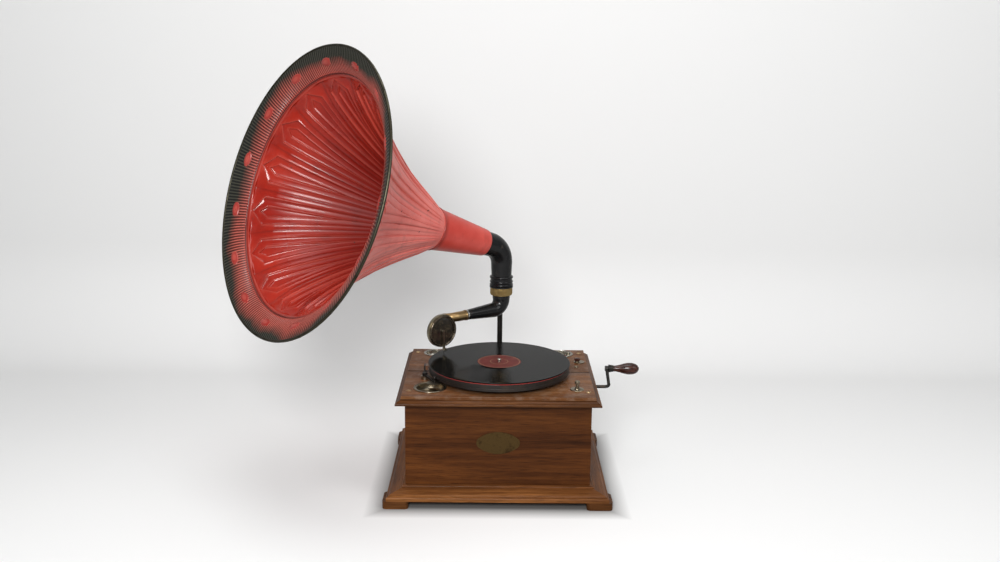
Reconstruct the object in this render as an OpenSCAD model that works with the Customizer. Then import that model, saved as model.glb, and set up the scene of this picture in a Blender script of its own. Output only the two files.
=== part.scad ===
// Table gramophone with an embossed horn, a spring motor and a soundbox.
// Millimetres. The origin is the middle of the bottom board's underside, +Z up, the front faces -Y.
// The modules count heights from the floor; lowered() brings them down by the height of the feet.

/* [Case] */
// Width of the case walls, side to side
case_w = 312.7; // [290:0.1:360]
// Depth of the case walls, front to back
case_d = 268.8; // [262:0.1:320]
// Height of the case walls
wall_h = 163; // [150:0.5:200]
// Thickness of the case walls
wall_t = 10; // [6:0.5:14]
// Thickness of the bottom board
bottom_t = 6; // [4:0.5:9]
// Height of a foot
foot_h = 13; // [8:0.5:24]
// Side of a square foot block
foot_size = 43.5; // [34:0.5:56]
// How far a foot stands out past the plinth at the sides
foot_side = 6; // [0:0.5:10]
// How far a foot stands out past the plinth at the front and back
foot_ahead = 1; // [0:0.5:8]
// Corner radius of a foot block
foot_round = 7; // [2:0.5:12]
// Height of the plinth moulding
plinth_h = 19; // [17:0.5:30]
// Width of the oval plate on the front
badge_w = 73; // [50:1:90]
// Height of the oval plate on the front
badge_h = 39; // [24:0.5:48]
// Thickness of the oval plate on the front
badge_t = 0.8; // [0.6:0.1:2]
// How far the plinth stands out from the walls
plinth_out = 31; // [24:0.5:40]
// Height of the plinth's plain lower band
plinth_band = 7; // [5:0.25:9]

/* [Lid and deck] */
// Height of the lid moulding
lid_h = 9; // [7:0.25:14]
// How far the lid moulding stands out from the walls
lid_out = 15.5; // [11:0.25:20]
// Width of the lid moulding's inner ledge inside the walls
lid_ledge = 6; // [3:0.5:10]
// Thickness of the two deck boards
deck_t = 5; // [4:0.25:8]
// How far the deck boards stand out from the walls
deck_out = 6.35; // [3:0.05:9]
// Width of the seam between the two deck boards
deck_seam = 0.4; // [0.2:0.1:1]
// Depth of the groove along that seam
deck_vee = 1.5; // [0.5:0.1:2.5]
// Screw places: distance in from the outer side of the walls
screw_in = 4.35; // [2.5:0.05:8]
// Screw places: distance from the middle towards the front
screw_front = 110; // [100:0.5:126]
// Screw places: distance from the middle towards the back
screw_rear = 119; // [100:0.5:126]

/* [Needle cups] */
// Rim radius of the large front cup
cup_front_r = 28; // [24:0.5:30]
// Rim radius of the two rear cups
cup_rear_r = 22.5; // [18:0.5:26]
// Depth of the cups below the deck's top
cup_depth = 11; // [7:0.5:13]
// Wall of the cups
cup_t = 1; // [0.8:0.1:2]
// Front cup's place: distance in from the left wall's outer side
cup_front_in = 39.85; // [37:0.05:43]
// Front cup's place, front to back
cup_front_y = -95; // [-99:0.5:-92]
// Rear cups' places: distance in from the walls' outer sides
cup_rear_in = 38.35; // [34:0.05:44]
// Rear cups' place, front to back
cup_rear_y = 112; // [106:0.5:113]

/* [Turntable] */
// Turntable's place, side to side
tt_x = 1; // [-4:0.5:6]
// Turntable's place, front to back
tt_y = -16; // [-20:0.5:-12]
// Gap between the deck and the platter
platter_gap = 8.5; // [8:0.25:14]
// Radius of the platter
platter_r = 123.6; // [110:0.2:124]
// Height of the platter's rim
platter_h = 12; // [9:0.5:18]
// Thickness of the platter's sheet
platter_t = 2.5; // [1.5:0.25:3]
// Thickness of the felt mat
felt_t = 1.5; // [1:0.1:3]
// Radius of the record
record_r = 125; // [110:0.5:126]
// Thickness of the record
record_t = 2; // [1.5:0.1:3]
// Radius of the record's paper label
label_r = 38.5; // [32:0.5:44]
// Radius of the spindle below the platter
spindle_r = 5; // [4:0.25:6]
// Radius of the spindle's pin through the record
pin_r = 3.6; // [3:0.05:3.8]
// Height of the pin above the record
pin_h = 5.5; // [3:0.25:8]

/* [Motor] */
// Thickness of the two motor plates
plate_t = 3; // [2:0.25:4]
// Drop from the deck's underside to the upper motor plate
motor_drop = 16; // [15:0.5:18]
// Space between the two motor plates
motor_space = 71; // [70:0.5:80]
// Radius of the spring barrel
barrel_r = 40; // [34:0.5:42]
// Height of the spring barrel
barrel_h = 31; // [24:0.5:32]
// Teeth on the barrel's gear
barrel_teeth = 48; // [40:1:48]
// Tooth size of the barrel's gear, pitch diameter over teeth
barrel_mod = 1.875; // [1.7:0.005:1.9]
// Tooth size of the second gear pair
train_mod = 2; // [1.8:0.01:2]
// Teeth on the second wheel
wheel_teeth = 40; // [36:1:40]
// Teeth on the two pinions
pinion_teeth = 8; // [8:1:9]
// Radius of the governor's driving wheel on the spindle
worm_wheel_r = 20; // [18:0.5:20]
// Radius of the governor's worm
worm_r = 3.4; // [3:0.1:4]
// Radius of the governor's ball path
ball_path = 12; // [10:0.5:13]
// Radius of a governor ball
ball_r = 4.5; // [3.5:0.25:5]
// Radius of the governor's friction disc
gov_disc_r = 14; // [11:0.5:16]

/* [Crank] */
// Height of the crank shaft above the floor
crank_z = 160; // [158:0.5:161]
// Crank shaft's place, front to back
crank_y = 11; // [9:0.5:13]
// Radius of the crank rod
crank_rod = 2.9; // [2.5:0.05:3.4]
// How far the crank shaft stands out from the case wall
crank_reach = 43.5; // [38:0.5:55]
// Length of the crank arm, shaft to handle
crank_arm = 52; // [45:0.5:70]
// Rise of the crank arm above level, in degrees
crank_angle = 21.6; // [0:0.1:60]
// Length of the wooden grip with its ferrule
grip_len = 59; // [50:0.5:80]
// Largest radius of the grip
grip_r = 10.8; // [9:0.1:13]
// Radius of the grip's ferrule
ferrule_r = 7.3; // [6.5:0.1:8]

/* [Deck controls] */
// Speed knob's place: distance in from the right wall's outer side
speed_in = 11.35; // [9:0.05:12]
// Speed knob's place, front to back
speed_y = 61; // [56:0.5:66]
// Radius of the speed dial plate
speed_r = 9.8; // [8:0.1:11]
// How far the dial's middle lies outwards of the speed knob
speed_shift = 3.7; // [0:0.1:5]
// Radius of the speed knob
speed_knob_r = 5.2; // [4.8:0.1:6]
// Height of the speed knob above the deck
speed_knob_h = 8.6; // [7.5:0.1:12]
// How far the oil hole's ring lies in front of the speed knob
oil_y = 30; // [20:0.5:40]
// Switch's place: distance in from the right wall's outer side
switch_in = 22.85; // [18:0.05:28]
// Switch's place, front to back
switch_y = -97; // [-103:0.5:-92]
// Radius of the switch plate
switch_r = 12; // [10:0.25:13]
// Radius of the switch's mushroom knob
knob_r = 4.4; // [4:0.1:6]
// Height of the switch's mushroom knob above the deck
knob_h = 16; // [12:0.5:18]
// Brake's pivot place, side to side
brake_x = -128.5; // [-130:0.25:-128]
// Brake's pivot place, front to back
brake_y = -45; // [-50:0.5:-40]
// Brake ball's place, front to back
brake_ball_y = -84; // [-86:0.5:-74]
// Radius of the round rest under the brake's ball
brake_r = 12.5; // [9:0.25:14]
// Radius of the brake's ball
brake_ball_r = 3.3; // [2.6:0.1:4]
// Gap between the platter and the brake's shoe when the brake is off
brake_gap = 2.2; // [2:0.1:3]
// Thickness of the control plates
dial_t = 1.2; // [0.8:0.1:1.6]

/* [Tone arm] */
// Tone arm and horn pivot's place, side to side
pivot_x = 4.3; // [1:0.1:8]
// Tone arm and horn pivot's place, front to back
pivot_y = 136; // [134:0.25:140]
// Height of the tone arm's level tube above the floor
arm_z = 272; // [262:0.5:273.5]
// Heading of the tone arm at rest, in degrees from +X
arm_az = 218.5; // [205:0.5:235]
// Radius of the tone arm's neck
neck_r = 16.3; // [14.5:0.1:16.8]
// Radius of the tone arm's small end
arm_end_r = 9.2; // [8.6:0.1:11]
// Length of the black arm from the pivot to the collar
arm_len = 81; // [70:0.5:95]
// Bend radius of the tone arm
arm_bend = 19; // [17:0.5:20.5]
// Wall of the tone arm tube
arm_wall = 1.5; // [1:0.1:2]
// Radius of the swinging brass tube
goose_r = 9; // [8.4:0.1:9.4]

/* [Soundbox] */
// Distance from the pivot to the needle, along the arm
needle_len = 145; // [135:0.5:155]
// Sideways place of the soundbox's face from the arm's axis
box_side = 14; // [12:0.5:18]
// Drop from the tone arm's axis to the middle of the soundbox
box_drop = 17.5; // [15:0.5:22]
// Radius of the soundbox
box_r = 30; // [26:0.5:32]
// Depth of the soundbox
box_t = 11; // [9:0.5:14]
// Width of the soundbox's clamping ring
box_ring = 4.5; // [3.5:0.25:6]
// Radius of the needle
needle_r = 0.8; // [0.6:0.05:1.2]

/* [Horn bracket] */
// Radius of the bracket's rod
rod_r = 5; // [4:0.25:6]
// Rod's place behind the case wall
rod_back = 25.5; // [22:0.5:32]
// Width of the bracket's foot
bracket_w = 46; // [36:0.5:60]
// Height of the bracket's foot
bracket_h = 52; // [40:0.5:70]
// Thickness of the bracket's foot
bracket_t = 6; // [4:0.5:9]
// Height of the brass bearing ring's underside above the floor
ring_z = 300; // [299:0.5:306]
// Height of the brass bearing ring
ring_h = 14; // [12:0.5:16]
// Radius of the brass bearing ring
ring_r = 21; // [20.6:0.1:22]

/* [Horn] */
// Heading of the horn at rest, in degrees from +X
horn_az = 219; // [200:0.5:240]
// Rise of the horn's axis above level, in degrees
horn_el = 18.3; // [5:0.1:30]
// Height where the horn's axis crosses the pivot
horn_z = 389.5; // [385:0.5:400]
// Bend radius of the elbow
elbow_bend = 40; // [36:0.5:46]
// Radius of the elbow's upright tube
elbow_r = 18.2; // [17.8:0.1:19.5]
// Radius of the elbow's end inside the horn
elbow_end_r = 23.4; // [21:0.1:25]
// Wall of the elbow
elbow_wall = 1.6; // [1.2:0.1:2]
// Height of the elbow's beaded collar
collar_h = 23; // [20:0.5:27]
// Distance from the pivot to the horn's neck, along its axis
neck_s = 46; // [44:0.5:50]
// Distance from the pivot to the bell's throat, along its axis
throat_s = 170; // [150:0.5:190]
// Radius of the bell's throat
throat_r = 38.5; // [34:0.5:44]
// Distance from the pivot to the rim's plane, along its axis
mouth_s = 445; // [400:0.5:480]
// Radius of the horn's mouth over its rolled rim
mouth_r = 244; // [220:0.5:260]
// Radius of the seam between petals and outer band
seam_r = 201.3; // [185:0.1:205]
// Depth of the outer band, from the seam to the rim's plane
band_depth = 25.4; // [20:0.1:30]
// Roundness of the outer band, radius of its section
band_round = 64.7; // [50:0.1:90]
// Radius of the rolled rim
rim_r = 2.4; // [1.8:0.1:3.2]
// Thickness of the horn's sheet, measured square to its axis
sheet_t = 1.6; // [1.4:0.1:2.4]
// Number of embossed petals, each with an oval boss on the outer band
petals = 15; // [12:1:16]
// Turn of the petals about the horn's axis, in degrees
petal_turn = -3.4; // [-12:0.1:12]
// Depth of the petals' sunk panels at the seam
petal_depth = 5; // [3:0.25:7]
// Length of an oval boss on the outer band
boss_len = 19; // [14:0.5:22]
// Width of an oval boss on the outer band
boss_wid = 11; // [8:0.5:13]

/* [Fits] */
// Running gap of shafts and swivels, on the radius
run_gap = 0.08; // [0.03:0.01:0.1]
// Gap between pieces that move past each other
clear_gap = 0.3; // [0.2:0.05:0.6]

/* [Hidden] */
$fn = 96;
eps = 0.01;

// Levels from the floor up
wall_z = foot_h;
wall_top = wall_z + wall_h;
deck_z = wall_top + lid_h;
deck_top = deck_z + deck_t;
platter_z = deck_top + platter_gap;
felt_z = platter_z + platter_h;
record_z = felt_z + felt_t;
record_top = record_z + record_t;
label_t = 0.3;
label_sink = 0.2;
pin_free_r = pin_r - 0.25;

// Deck, lid and cup fittings
deck_w = case_w + 2 * deck_out;
deck_d = case_d + 2 * deck_out;
cup_flange = 3.5;
cup_bead = 0.9;
screw_shank_r = 2;
screw_head_r = 4.6;
screw_len = 10;
screw_x = case_w / 2 - screw_in;
cup_front_x = cup_front_in - case_w / 2;
cup_rear_x = case_w / 2 - cup_rear_in;
speed_x = case_w / 2 - speed_in;
switch_x = case_w / 2 - switch_in;
cup_spots = [[cup_front_x, cup_front_y, cup_front_r], [-cup_rear_x, cup_rear_y, cup_rear_r],
  [cup_rear_x, cup_rear_y, cup_rear_r]];
screw_spots = [[-screw_x, -screw_front], [screw_x, -screw_front], [-screw_x, screw_rear],
  [screw_x, screw_rear]];
knob_shaft_r = 2;
knob_collar_r = 3.6;
brake_pin_r = 2.5;
brake_rest_x = tt_x - sqrt(pow(record_r + brake_ball_r + 1.3, 2) - pow(brake_ball_y - tt_y, 2));
brake_z = deck_top + 6;
spindle_hole_r = spindle_r + 8;

// Motor levels and places
upper_z = deck_z - motor_drop - plate_t;
lower_z = upper_z - motor_space - plate_t;
barrel_z = lower_z + plate_t + 5;
gear_w = 5;
wheel_w = 3;
barrel_pitch = barrel_teeth * barrel_mod / 2;
first_pinion_r = pinion_teeth * barrel_mod / 2;
wheel_pitch = wheel_teeth * train_mod / 2;
second_pinion_r = pinion_teeth * train_mod / 2;
train_z = barrel_z + barrel_h + 1.6;
arbor_r = 3;
winder_r = 5;
crown_pitch = 30;
crown_teeth = 30;
crank_teeth = 12;
crank_pitch = crown_pitch * crank_teeth / crown_teeth;
tooth_up = 1;
crown_top = crank_z - crank_pitch + 1.1;
barrel_x = tt_x + 61;
barrel_y = crank_y;
span_b = barrel_pitch + first_pinion_r;
span_s = wheel_pitch + second_pinion_r;
span = norm([barrel_x - tt_x, barrel_y - tt_y]);
foot_a = (span_s * span_s - span_b * span_b + span * span) / (2 * span);
foot_n = sqrt(span_s * span_s - foot_a * foot_a);
dir_b = [(barrel_x - tt_x) / span, (barrel_y - tt_y) / span];
second_x = tt_x + foot_a * dir_b[0] + foot_n * dir_b[1];
second_y = tt_y + foot_a * dir_b[1] - foot_n * dir_b[0];
gov_x = tt_x - worm_wheel_r - worm_r - clear_gap;
gov_z = barrel_z + 15;
gov_front = tt_y - 30;
gov_rear = tt_y + 88;
gov_ball_y = tt_y + 48;
gov_disc_y = tt_y + 66;
pillar_r = 5;
plate_x0 = gov_x - 32;
plate_x1 = barrel_x + barrel_pitch + 10;
plate_y0 = tt_y - 66;
plate_y1 = gov_disc_y - 6;
base_y1 = gov_rear + 8;

// Crank
wall_x = case_w / 2;
crank_bend = 7;
crank_x = wall_x + crank_reach;
crank_inner = barrel_x + crown_pitch - 6;
bush_r = 6;

// Tone arm, soundbox and bracket
flange_w = 2;
flange_t = 1.8;
rod_y = case_d / 2 + rod_back;
rod_x = pivot_x - 2;
collar_z = ring_z + ring_h + clear_gap;
lip_t = 1.4;
lip_h = 5;
box_z = arm_z - box_drop;
ferrule_len = 6;
needle_z = record_top + clear_gap;
needle_arm_z = box_z - box_r;

// Horn
horn_end_s = neck_s + 17;
band_s = mouth_s - rim_r;
band_r = mouth_r - rim_r;
seam_s = mouth_s - band_depth;
band_rise = mouth_s - rim_r + 0.6 - seam_s;
band_half = norm([band_r - seam_r, band_rise]) / 2;
band_deep = sqrt(band_round * band_round - band_half * band_half);
band_cr = (band_r + seam_r) / 2 + band_deep * band_rise / (2 * band_half);
band_cs = seam_s + band_rise / 2 - band_deep * (band_r - seam_r) / (2 * band_half);
band_t = 1.2;
boss_r = seam_r + (band_r - seam_r) * 0.42;
boss_tilt = -asin((band_cr - boss_r) / band_round);
boss_s = band_cs + band_round * cos(boss_tilt);
petal_pitch = 360 / petals;
flare = 0.74;
flare_pow = 3.43;

// Small helpers
module lowered() {
  translate([0, 0, -foot_h]) children();
}

function ringdir(a) = [cos(a), sin(a)];

// Outline of a gear: slim straight-sided teeth with room between them
module gear_outline(n, m, up = 0.8, down = 1.15, thick = 0.36) {
  pitch = n * m / 2;
  tip = pitch + up * m;
  root = pitch - down * m;
  half = thick * m * 3.14159 / 2 / pitch * 57.2958;
  polygon([for (i = [0:n - 1], c = [[root, -1.35], [pitch, -1], [tip, -0.45], [tip, 0.45],
    [pitch, 1], [root, 1.35]]) c[0] * ringdir(i * 360 / n + c[1] * half)]);
}

// A rectangular frame with the same moulding on all four sides, mitred at its corners
module moulded_block(w, d, h) {
  intersection() {
    rotate([90, 0, 0]) linear_extrude(height = d + 200, center = true) {
      moulding_side(w / 2, h) children(0);
      mirror([1, 0]) moulding_side(w / 2, h) children(0);
    }
    rotate([90, 0, 90]) linear_extrude(height = w + 200, center = true) {
      moulding_side(d / 2, h) children(0);
      mirror([1, 0]) moulding_side(d / 2, h) children(0);
    }
  }
}

module moulding_side(half, h) {
  square([half, h]);
  translate([half, 0]) children(0);
}

// Profile of the plinth, outwards from the wall
module plinth_profile() {
  r = 2.2;
  square([plinth_out - r, plinth_band]);
  square([plinth_out, plinth_band - r]);
  translate([plinth_out - r, plinth_band - r]) circle(r);
  slope_top = plinth_h - 4.2;
  polygon([[0, 0], [plinth_out - 3.6, 0], [plinth_out - 3.6, plinth_band + 1.2],
    [plinth_out - 7, plinth_band + 3.4], [plinth_out * 0.42, slope_top - 1.4],
    [plinth_out * 0.26, slope_top], [0, slope_top]]);
  square([plinth_out * 0.2, plinth_h - 2.6]);
  translate([plinth_out * 0.2 - 1.6, plinth_h - 2.2]) circle(1.6);
  square([plinth_out * 0.2 - 1.6, plinth_h]);
}

// Profile of the lid moulding, outwards from the wall
module lid_profile() {
  r = 1.7;
  square([lid_out - r, 2 * r + 0.4]);
  square([lid_out, r + 0.4]);
  translate([lid_out - r, r + 0.4]) circle(r);
  polygon([[0, 0], [lid_out - 2.6, 0], [lid_out - 2.6, 2 * r + 1], [lid_out - 4.2, lid_h - 3],
    [lid_out - 6.6, lid_h - 1.6], [deck_out + 1, lid_h - 1.2], [deck_out + 1, lid_h], [0, lid_h]]);
}

// Profile of the deck boards' edge, outwards from the wall
module deck_profile() {
  r = 1.3;
  square([deck_out, deck_t - r]);
  square([deck_out - r, deck_t]);
  translate([deck_out - r, deck_t - r]) circle(r);
}

module foot_block() {
  linear_extrude(height = foot_h) {
    translate([foot_round, 0]) square([foot_size - 2 * foot_round, foot_size]);
    translate([0, foot_round]) square([foot_size, foot_size - 2 * foot_round]);
    for (x = [foot_round, foot_size - foot_round], y = [foot_round, foot_size - foot_round])
      translate([x, y]) circle(foot_round);
  }
}

module feet() {
  color([0.30, 0.18, 0.11]) lowered()
    for (sx = [0, 1], sy = [0, 1])
      mirror([sx, 0, 0]) mirror([0, sy, 0])
        translate([case_w / 2 + plinth_out + foot_side - foot_size,
          case_d / 2 + plinth_out + foot_ahead - foot_size, 0])
          foot_block();
}

module bottom_board() {
  color([0.42, 0.28, 0.18]) lowered()
    translate([-case_w / 2 + wall_t, -case_d / 2 + wall_t, wall_z])
      cube([case_w - 2 * wall_t, case_d - 2 * wall_t, bottom_t]);
}

module plinth() {
  color([0.50, 0.30, 0.16]) lowered()
    difference() {
      translate([0, 0, wall_z]) moulded_block(case_w, case_d, plinth_h) plinth_profile();
      translate([-case_w / 2, -case_d / 2, wall_z - 1]) cube([case_w, case_d, plinth_h + 2]);
    }
}

module front_panel() {
  color([0.36, 0.21, 0.12]) lowered()
    translate([-case_w / 2, -case_d / 2, wall_z]) cube([case_w, wall_t, wall_h]);
}

module rear_panel() {
  color([0.34, 0.20, 0.12]) lowered()
    difference() {
      translate([-case_w / 2, case_d / 2 - wall_t, wall_z]) cube([case_w, wall_t, wall_h]);
      bracket_screw_holes();
    }
}

module side_panel() {
  translate([case_w / 2 - wall_t, -case_d / 2 + wall_t, wall_z])
    cube([wall_t, case_d - 2 * wall_t, wall_h]);
}

module left_panel() {
  color([0.35, 0.21, 0.13]) lowered() mirror([1, 0, 0]) side_panel();
}

module right_panel() {
  color([0.35, 0.21, 0.13]) lowered()
    difference() {
      side_panel();
      translate([wall_x - wall_t - 1, crank_y, crank_z]) rotate([0, 90, 0])
        cylinder(r = bush_r, h = wall_t + 2);
    }
}

module cup_holes() {
  for (c = cup_spots)
    translate([c[0], c[1], wall_top - 1])
      cylinder(r = c[2] - cup_flange + 0.5, h = lid_h + deck_t + 2);
}

module lid_frame() {
  inner = wall_t + lid_ledge;
  color([0.46, 0.28, 0.17]) lowered()
    difference() {
      translate([0, 0, wall_top]) moulded_block(case_w, case_d, lid_h) lid_profile();
      translate([-case_w / 2 + inner, -case_d / 2 + inner, wall_top - 1])
        cube([case_w - 2 * inner, case_d - 2 * inner, lid_h + 2]);
      cup_holes();
      for (s = screw_spots)
        translate([s[0], s[1], deck_z - screw_len]) cylinder(r = screw_shank_r, h = screw_len + 1);
      translate([case_w / 2 - inner - 1, lever_y - 4, wall_top - 1])
        cube([speed_x + 6 - case_w / 2 + inner + 1, lever_w + 14, lid_h + 2]);
      translate([brake_x, brake_y, wall_top - 1]) cylinder(r = brake_pin_r + 2 + clear_gap, h = lid_h + 2);
      translate([switch_x - 15, switch_y - 7, wall_top - 1]) cube([15 + 6 + clear_gap, 14, lid_h + 2]);
    }
}

module deck_holes() {
  cup_holes();
  for (s = screw_spots)
    translate([s[0], s[1], deck_z - 1]) cylinder(r = screw_shank_r, h = deck_t + 2);
  translate([tt_x, tt_y, deck_z - 1]) cylinder(r = spindle_hole_r, h = deck_t + 2);
  translate([speed_x, speed_y, deck_z - 1]) cylinder(r = knob_shaft_r + run_gap, h = deck_t + 2);
  translate([switch_x, switch_y, deck_z - 1]) cylinder(r = knob_shaft_r + run_gap, h = deck_t + 2);
  translate([brake_x, brake_y, deck_z - 1]) cylinder(r = brake_pin_r + run_gap, h = deck_t + 2);
}

module deck_board(side) {
  difference() {
    translate([0, 0, deck_z]) moulded_block(case_w, case_d, deck_t) deck_profile();
    translate([-case_w, side > 0 ? -case_d + deck_seam / 2 : -deck_seam / 2, deck_z - 1])
      cube([2 * case_w, case_d, deck_t + 2]);
    translate([0, 0, deck_top]) rotate([45, 0, 0])
      cube([2 * case_w, deck_vee * sqrt(2), deck_vee * sqrt(2)], center = true);
    deck_holes();
  }
}

module deck_front() {
  color([0.55, 0.37, 0.26]) lowered() deck_board(-1);
}

module deck_rear() {
  color([0.53, 0.36, 0.25]) lowered() deck_board(1);
}

module deck_screws() {
  color([0.80, 0.76, 0.68]) lowered()
    for (s = screw_spots)
      translate([s[0], s[1], deck_top - deck_t - screw_len + 1]) {
        cylinder(r = screw_shank_r, h = screw_len + deck_t - 1);
        translate([0, 0, screw_len + deck_t - 1]) screw_head();
      }
}

// Domed head with a slot
module screw_head() {
  difference() {
    rotate_extrude() intersection() {
      translate([0, 1.6 - 7.4]) circle(7.4);
      square([screw_head_r, 3]);
    }
    translate([-6, -0.4, 0.9]) cube([12, 0.8, 2]);
  }
}

// Turned metal cup with a rolled rim, its flange resting on the deck
module needle_cup(r) {
  bowl = r - cup_flange;
  translate([0, 0, deck_top]) rotate_extrude() {
    translate([bowl - 1, 0]) square([cup_flange, cup_t]);
    translate([r - cup_bead, cup_bead]) circle(cup_bead);
    difference() {
      translate([0, -cup_depth]) square([bowl, cup_depth + cup_t]);
      translate([0, -cup_depth + cup_t]) square([bowl - 7, cup_depth + 1]);
      translate([bowl - 7 - eps, -cup_depth + cup_t + 6])
        square([7 - cup_t + eps, cup_depth + 1]);
      translate([bowl - cup_t - 6, -cup_depth + cup_t + 6]) circle(6);
      difference() {
        translate([bowl - 6, -cup_depth - 1]) square([7, 7]);
        translate([bowl - 6, -cup_depth + 6]) circle(6);
      }
    }
  }
}

module cup_front() {
  color([0.78, 0.78, 0.76]) lowered() translate([cup_front_x, cup_front_y, 0]) needle_cup(cup_front_r);
}

module cup_rear_left() {
  color([0.78, 0.78, 0.76]) lowered() translate([-cup_rear_x, cup_rear_y, 0]) needle_cup(cup_rear_r);
}

module cup_rear_right() {
  color([0.78, 0.78, 0.76]) lowered() translate([cup_rear_x, cup_rear_y, 0]) needle_cup(cup_rear_r);
}

// Plain oval plate on the front, drawn with four arcs
module badge() {
  a = badge_w / 2;
  b = badge_h / 2;
  end_r = b * 0.56;
  side_r = ((a - end_r) * (a - end_r) + b * b - end_r * end_r) / (2 * (b - end_r));
  meet = side_r * (a - end_r) / (side_r - end_r);
  color([0.45, 0.32, 0.18]) lowered()
    translate([0, -case_d / 2, wall_z + wall_h * 0.577]) rotate([90, 0, 0])
      linear_extrude(height = badge_t) {
        intersection() {
          translate([0, side_r - b]) circle(side_r, $fn = 240);
          translate([0, b - side_r]) circle(side_r, $fn = 240);
          square([2 * meet - 1.6, 2 * b + 2], center = true);
        }
        for (x = [end_r - a, a - end_r]) translate([x, 0]) circle(end_r + 0.08);
      }
}

// Bracket: a foot on the back wall, an upright rod, and an arm to the bearing ring
bracket_z = wall_top - 10;
bracket_screws_at = [[-0.33, 0.16], [0.33, 0.16], [0, 0.86]];
module bracket_screw_holes() {
  for (p = bracket_screws_at)
    translate([rod_x + p[0] * bracket_w, case_d / 2 - wall_t * 0.8, bracket_z - p[1] * bracket_h])
      rotate([-90, 0, 0]) cylinder(r = screw_shank_r, h = wall_t + bracket_t);
}

module bracket() {
  arm_zc = ring_z + ring_h / 2;
  hub_r = rod_r + 3;
  color([0.10, 0.10, 0.10]) lowered()
    difference() {
      union() {
        translate([rod_x, case_d / 2, bracket_z]) rotate([-90, 0, 0]) linear_extrude(height = bracket_t)
          intersection() {
            translate([-bracket_w / 2, 0]) square([bracket_w, bracket_h]);
            union() {
              translate([0, bracket_w / 2]) circle(bracket_w / 2);
              translate([-bracket_w / 2, 0]) square([bracket_w, bracket_w / 2]);
              translate([0, bracket_h - bracket_w * 0.28]) circle(bracket_w * 0.28);
              polygon([[-bracket_w * 0.45, bracket_w * 0.7], [bracket_w * 0.45, bracket_w * 0.7],
                [bracket_w * 0.24, bracket_h - 4], [-bracket_w * 0.24, bracket_h - 4]]);
            }
          }
        translate([rod_x - rod_r, case_d / 2 + bracket_t - eps, bracket_z - bracket_h * 0.72])
          cube([2 * rod_r, rod_back - bracket_t, bracket_h * 0.5]);
        translate([rod_x, rod_y, bracket_z - bracket_h * 0.8]) cylinder(r = hub_r, h = bracket_h * 0.66);
        translate([rod_x, rod_y, bracket_z - bracket_h * 0.8]) cylinder(r = rod_r, h = arm_zc - bracket_z + bracket_h * 0.8);
        translate([rod_x, rod_y, arm_zc]) sphere(r = rod_r);
        translate([rod_x, rod_y, arm_zc]) rotate([90, 0, 0])
          cylinder(r = rod_r, h = rod_y - pivot_y - 14);
      }
      translate([pivot_x, pivot_y, ring_z - 20]) cylinder(r = ring_r, h = ring_h + 40);
      bracket_screw_holes();
    }
}

module bracket_screws() {
  color([0.75, 0.70, 0.60]) lowered()
    for (p = bracket_screws_at)
      translate([rod_x + p[0] * bracket_w, case_d / 2 + bracket_t, bracket_z - p[1] * bracket_h])
        rotate([-90, 0, 0]) {
          screw_head();
          translate([0, 0, -bracket_t - wall_t * 0.8 + 0.5]) cylinder(r = screw_shank_r, h = bracket_t + wall_t * 0.8 - 0.5);
        }
}

// Knurled ring that carries the tone arm below and the horn above
module bearing_ring() {
  knurls = 48;
  color([0.72, 0.58, 0.32]) lowered()
    translate([pivot_x, pivot_y, 0])
      difference() {
        union() {
          translate([0, 0, ring_z + 2]) linear_extrude(height = ring_h - 4)
            polygon([for (i = [0:2 * knurls - 1])
              (i % 2 == 0 ? ring_r : ring_r - 0.5) * ringdir(i * 180 / knurls + 90 / knurls)]);
          translate([0, 0, ring_z]) cylinder(r = ring_r - 0.8, h = ring_h);
          translate([0, 0, ring_z + ring_h - eps]) cylinder(r = neck_r + flange_w + lip_t + 0.2, h = lip_h);
        }
        translate([0, 0, ring_z - 1]) cylinder(r = neck_r + run_gap, h = ring_h + lip_h + 2);
        translate([0, 0, ring_z + ring_h]) cylinder(r = neck_r + flange_w + 0.2, h = lip_h + 1);
      }
}

module crank_bush() {
  color([0.70, 0.66, 0.55]) lowered()
    translate([wall_x, crank_y, crank_z]) rotate([0, 90, 0])
      difference() {
        union() {
          translate([0, 0, -wall_t]) cylinder(r = bush_r, h = wall_t + 2);
          cylinder(r1 = bush_r + 5, r2 = bush_r + 3.6, h = 2);
          cylinder(r = bush_r, h = 5);
        }
        translate([0, 0, -wall_t - 1]) cylinder(r = crank_rod + run_gap, h = wall_t + 10);
      }
}

// Control plates on the deck; the oil hole's ring lies in front of the speed dial
oil_x = -4;
module speed_dial() {
  color([0.80, 0.79, 0.75]) lowered()
    translate([speed_x, speed_y, deck_top]) {
      difference() {
        union() {
          translate([speed_shift, 0, 0]) cylinder(r = speed_r, h = dial_t);
          cylinder(r = knob_shaft_r + 2, h = dial_t + 1);
        }
        translate([0, 0, -1]) cylinder(r = knob_shaft_r + run_gap, h = dial_t + 3);
      }
      translate([oil_x, -oil_y, 0]) rotate_extrude() {
        translate([2.4, 0]) square([1.6, 0.8]);
        translate([3.2, 0.8]) circle(0.6);
      }
    }
}

module switch_plate() {
  color([0.80, 0.79, 0.75]) lowered()
    translate([switch_x, switch_y, deck_top]) difference() {
      union() {
        cylinder(r1 = switch_r, r2 = switch_r - 0.8, h = dial_t);
        cylinder(r1 = knob_shaft_r + 3.4, r2 = knob_shaft_r + 2.4, h = dial_t + 1.2);
      }
      translate([0, 0, -1]) cylinder(r = knob_shaft_r + run_gap, h = dial_t + 4);
    }
}

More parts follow.
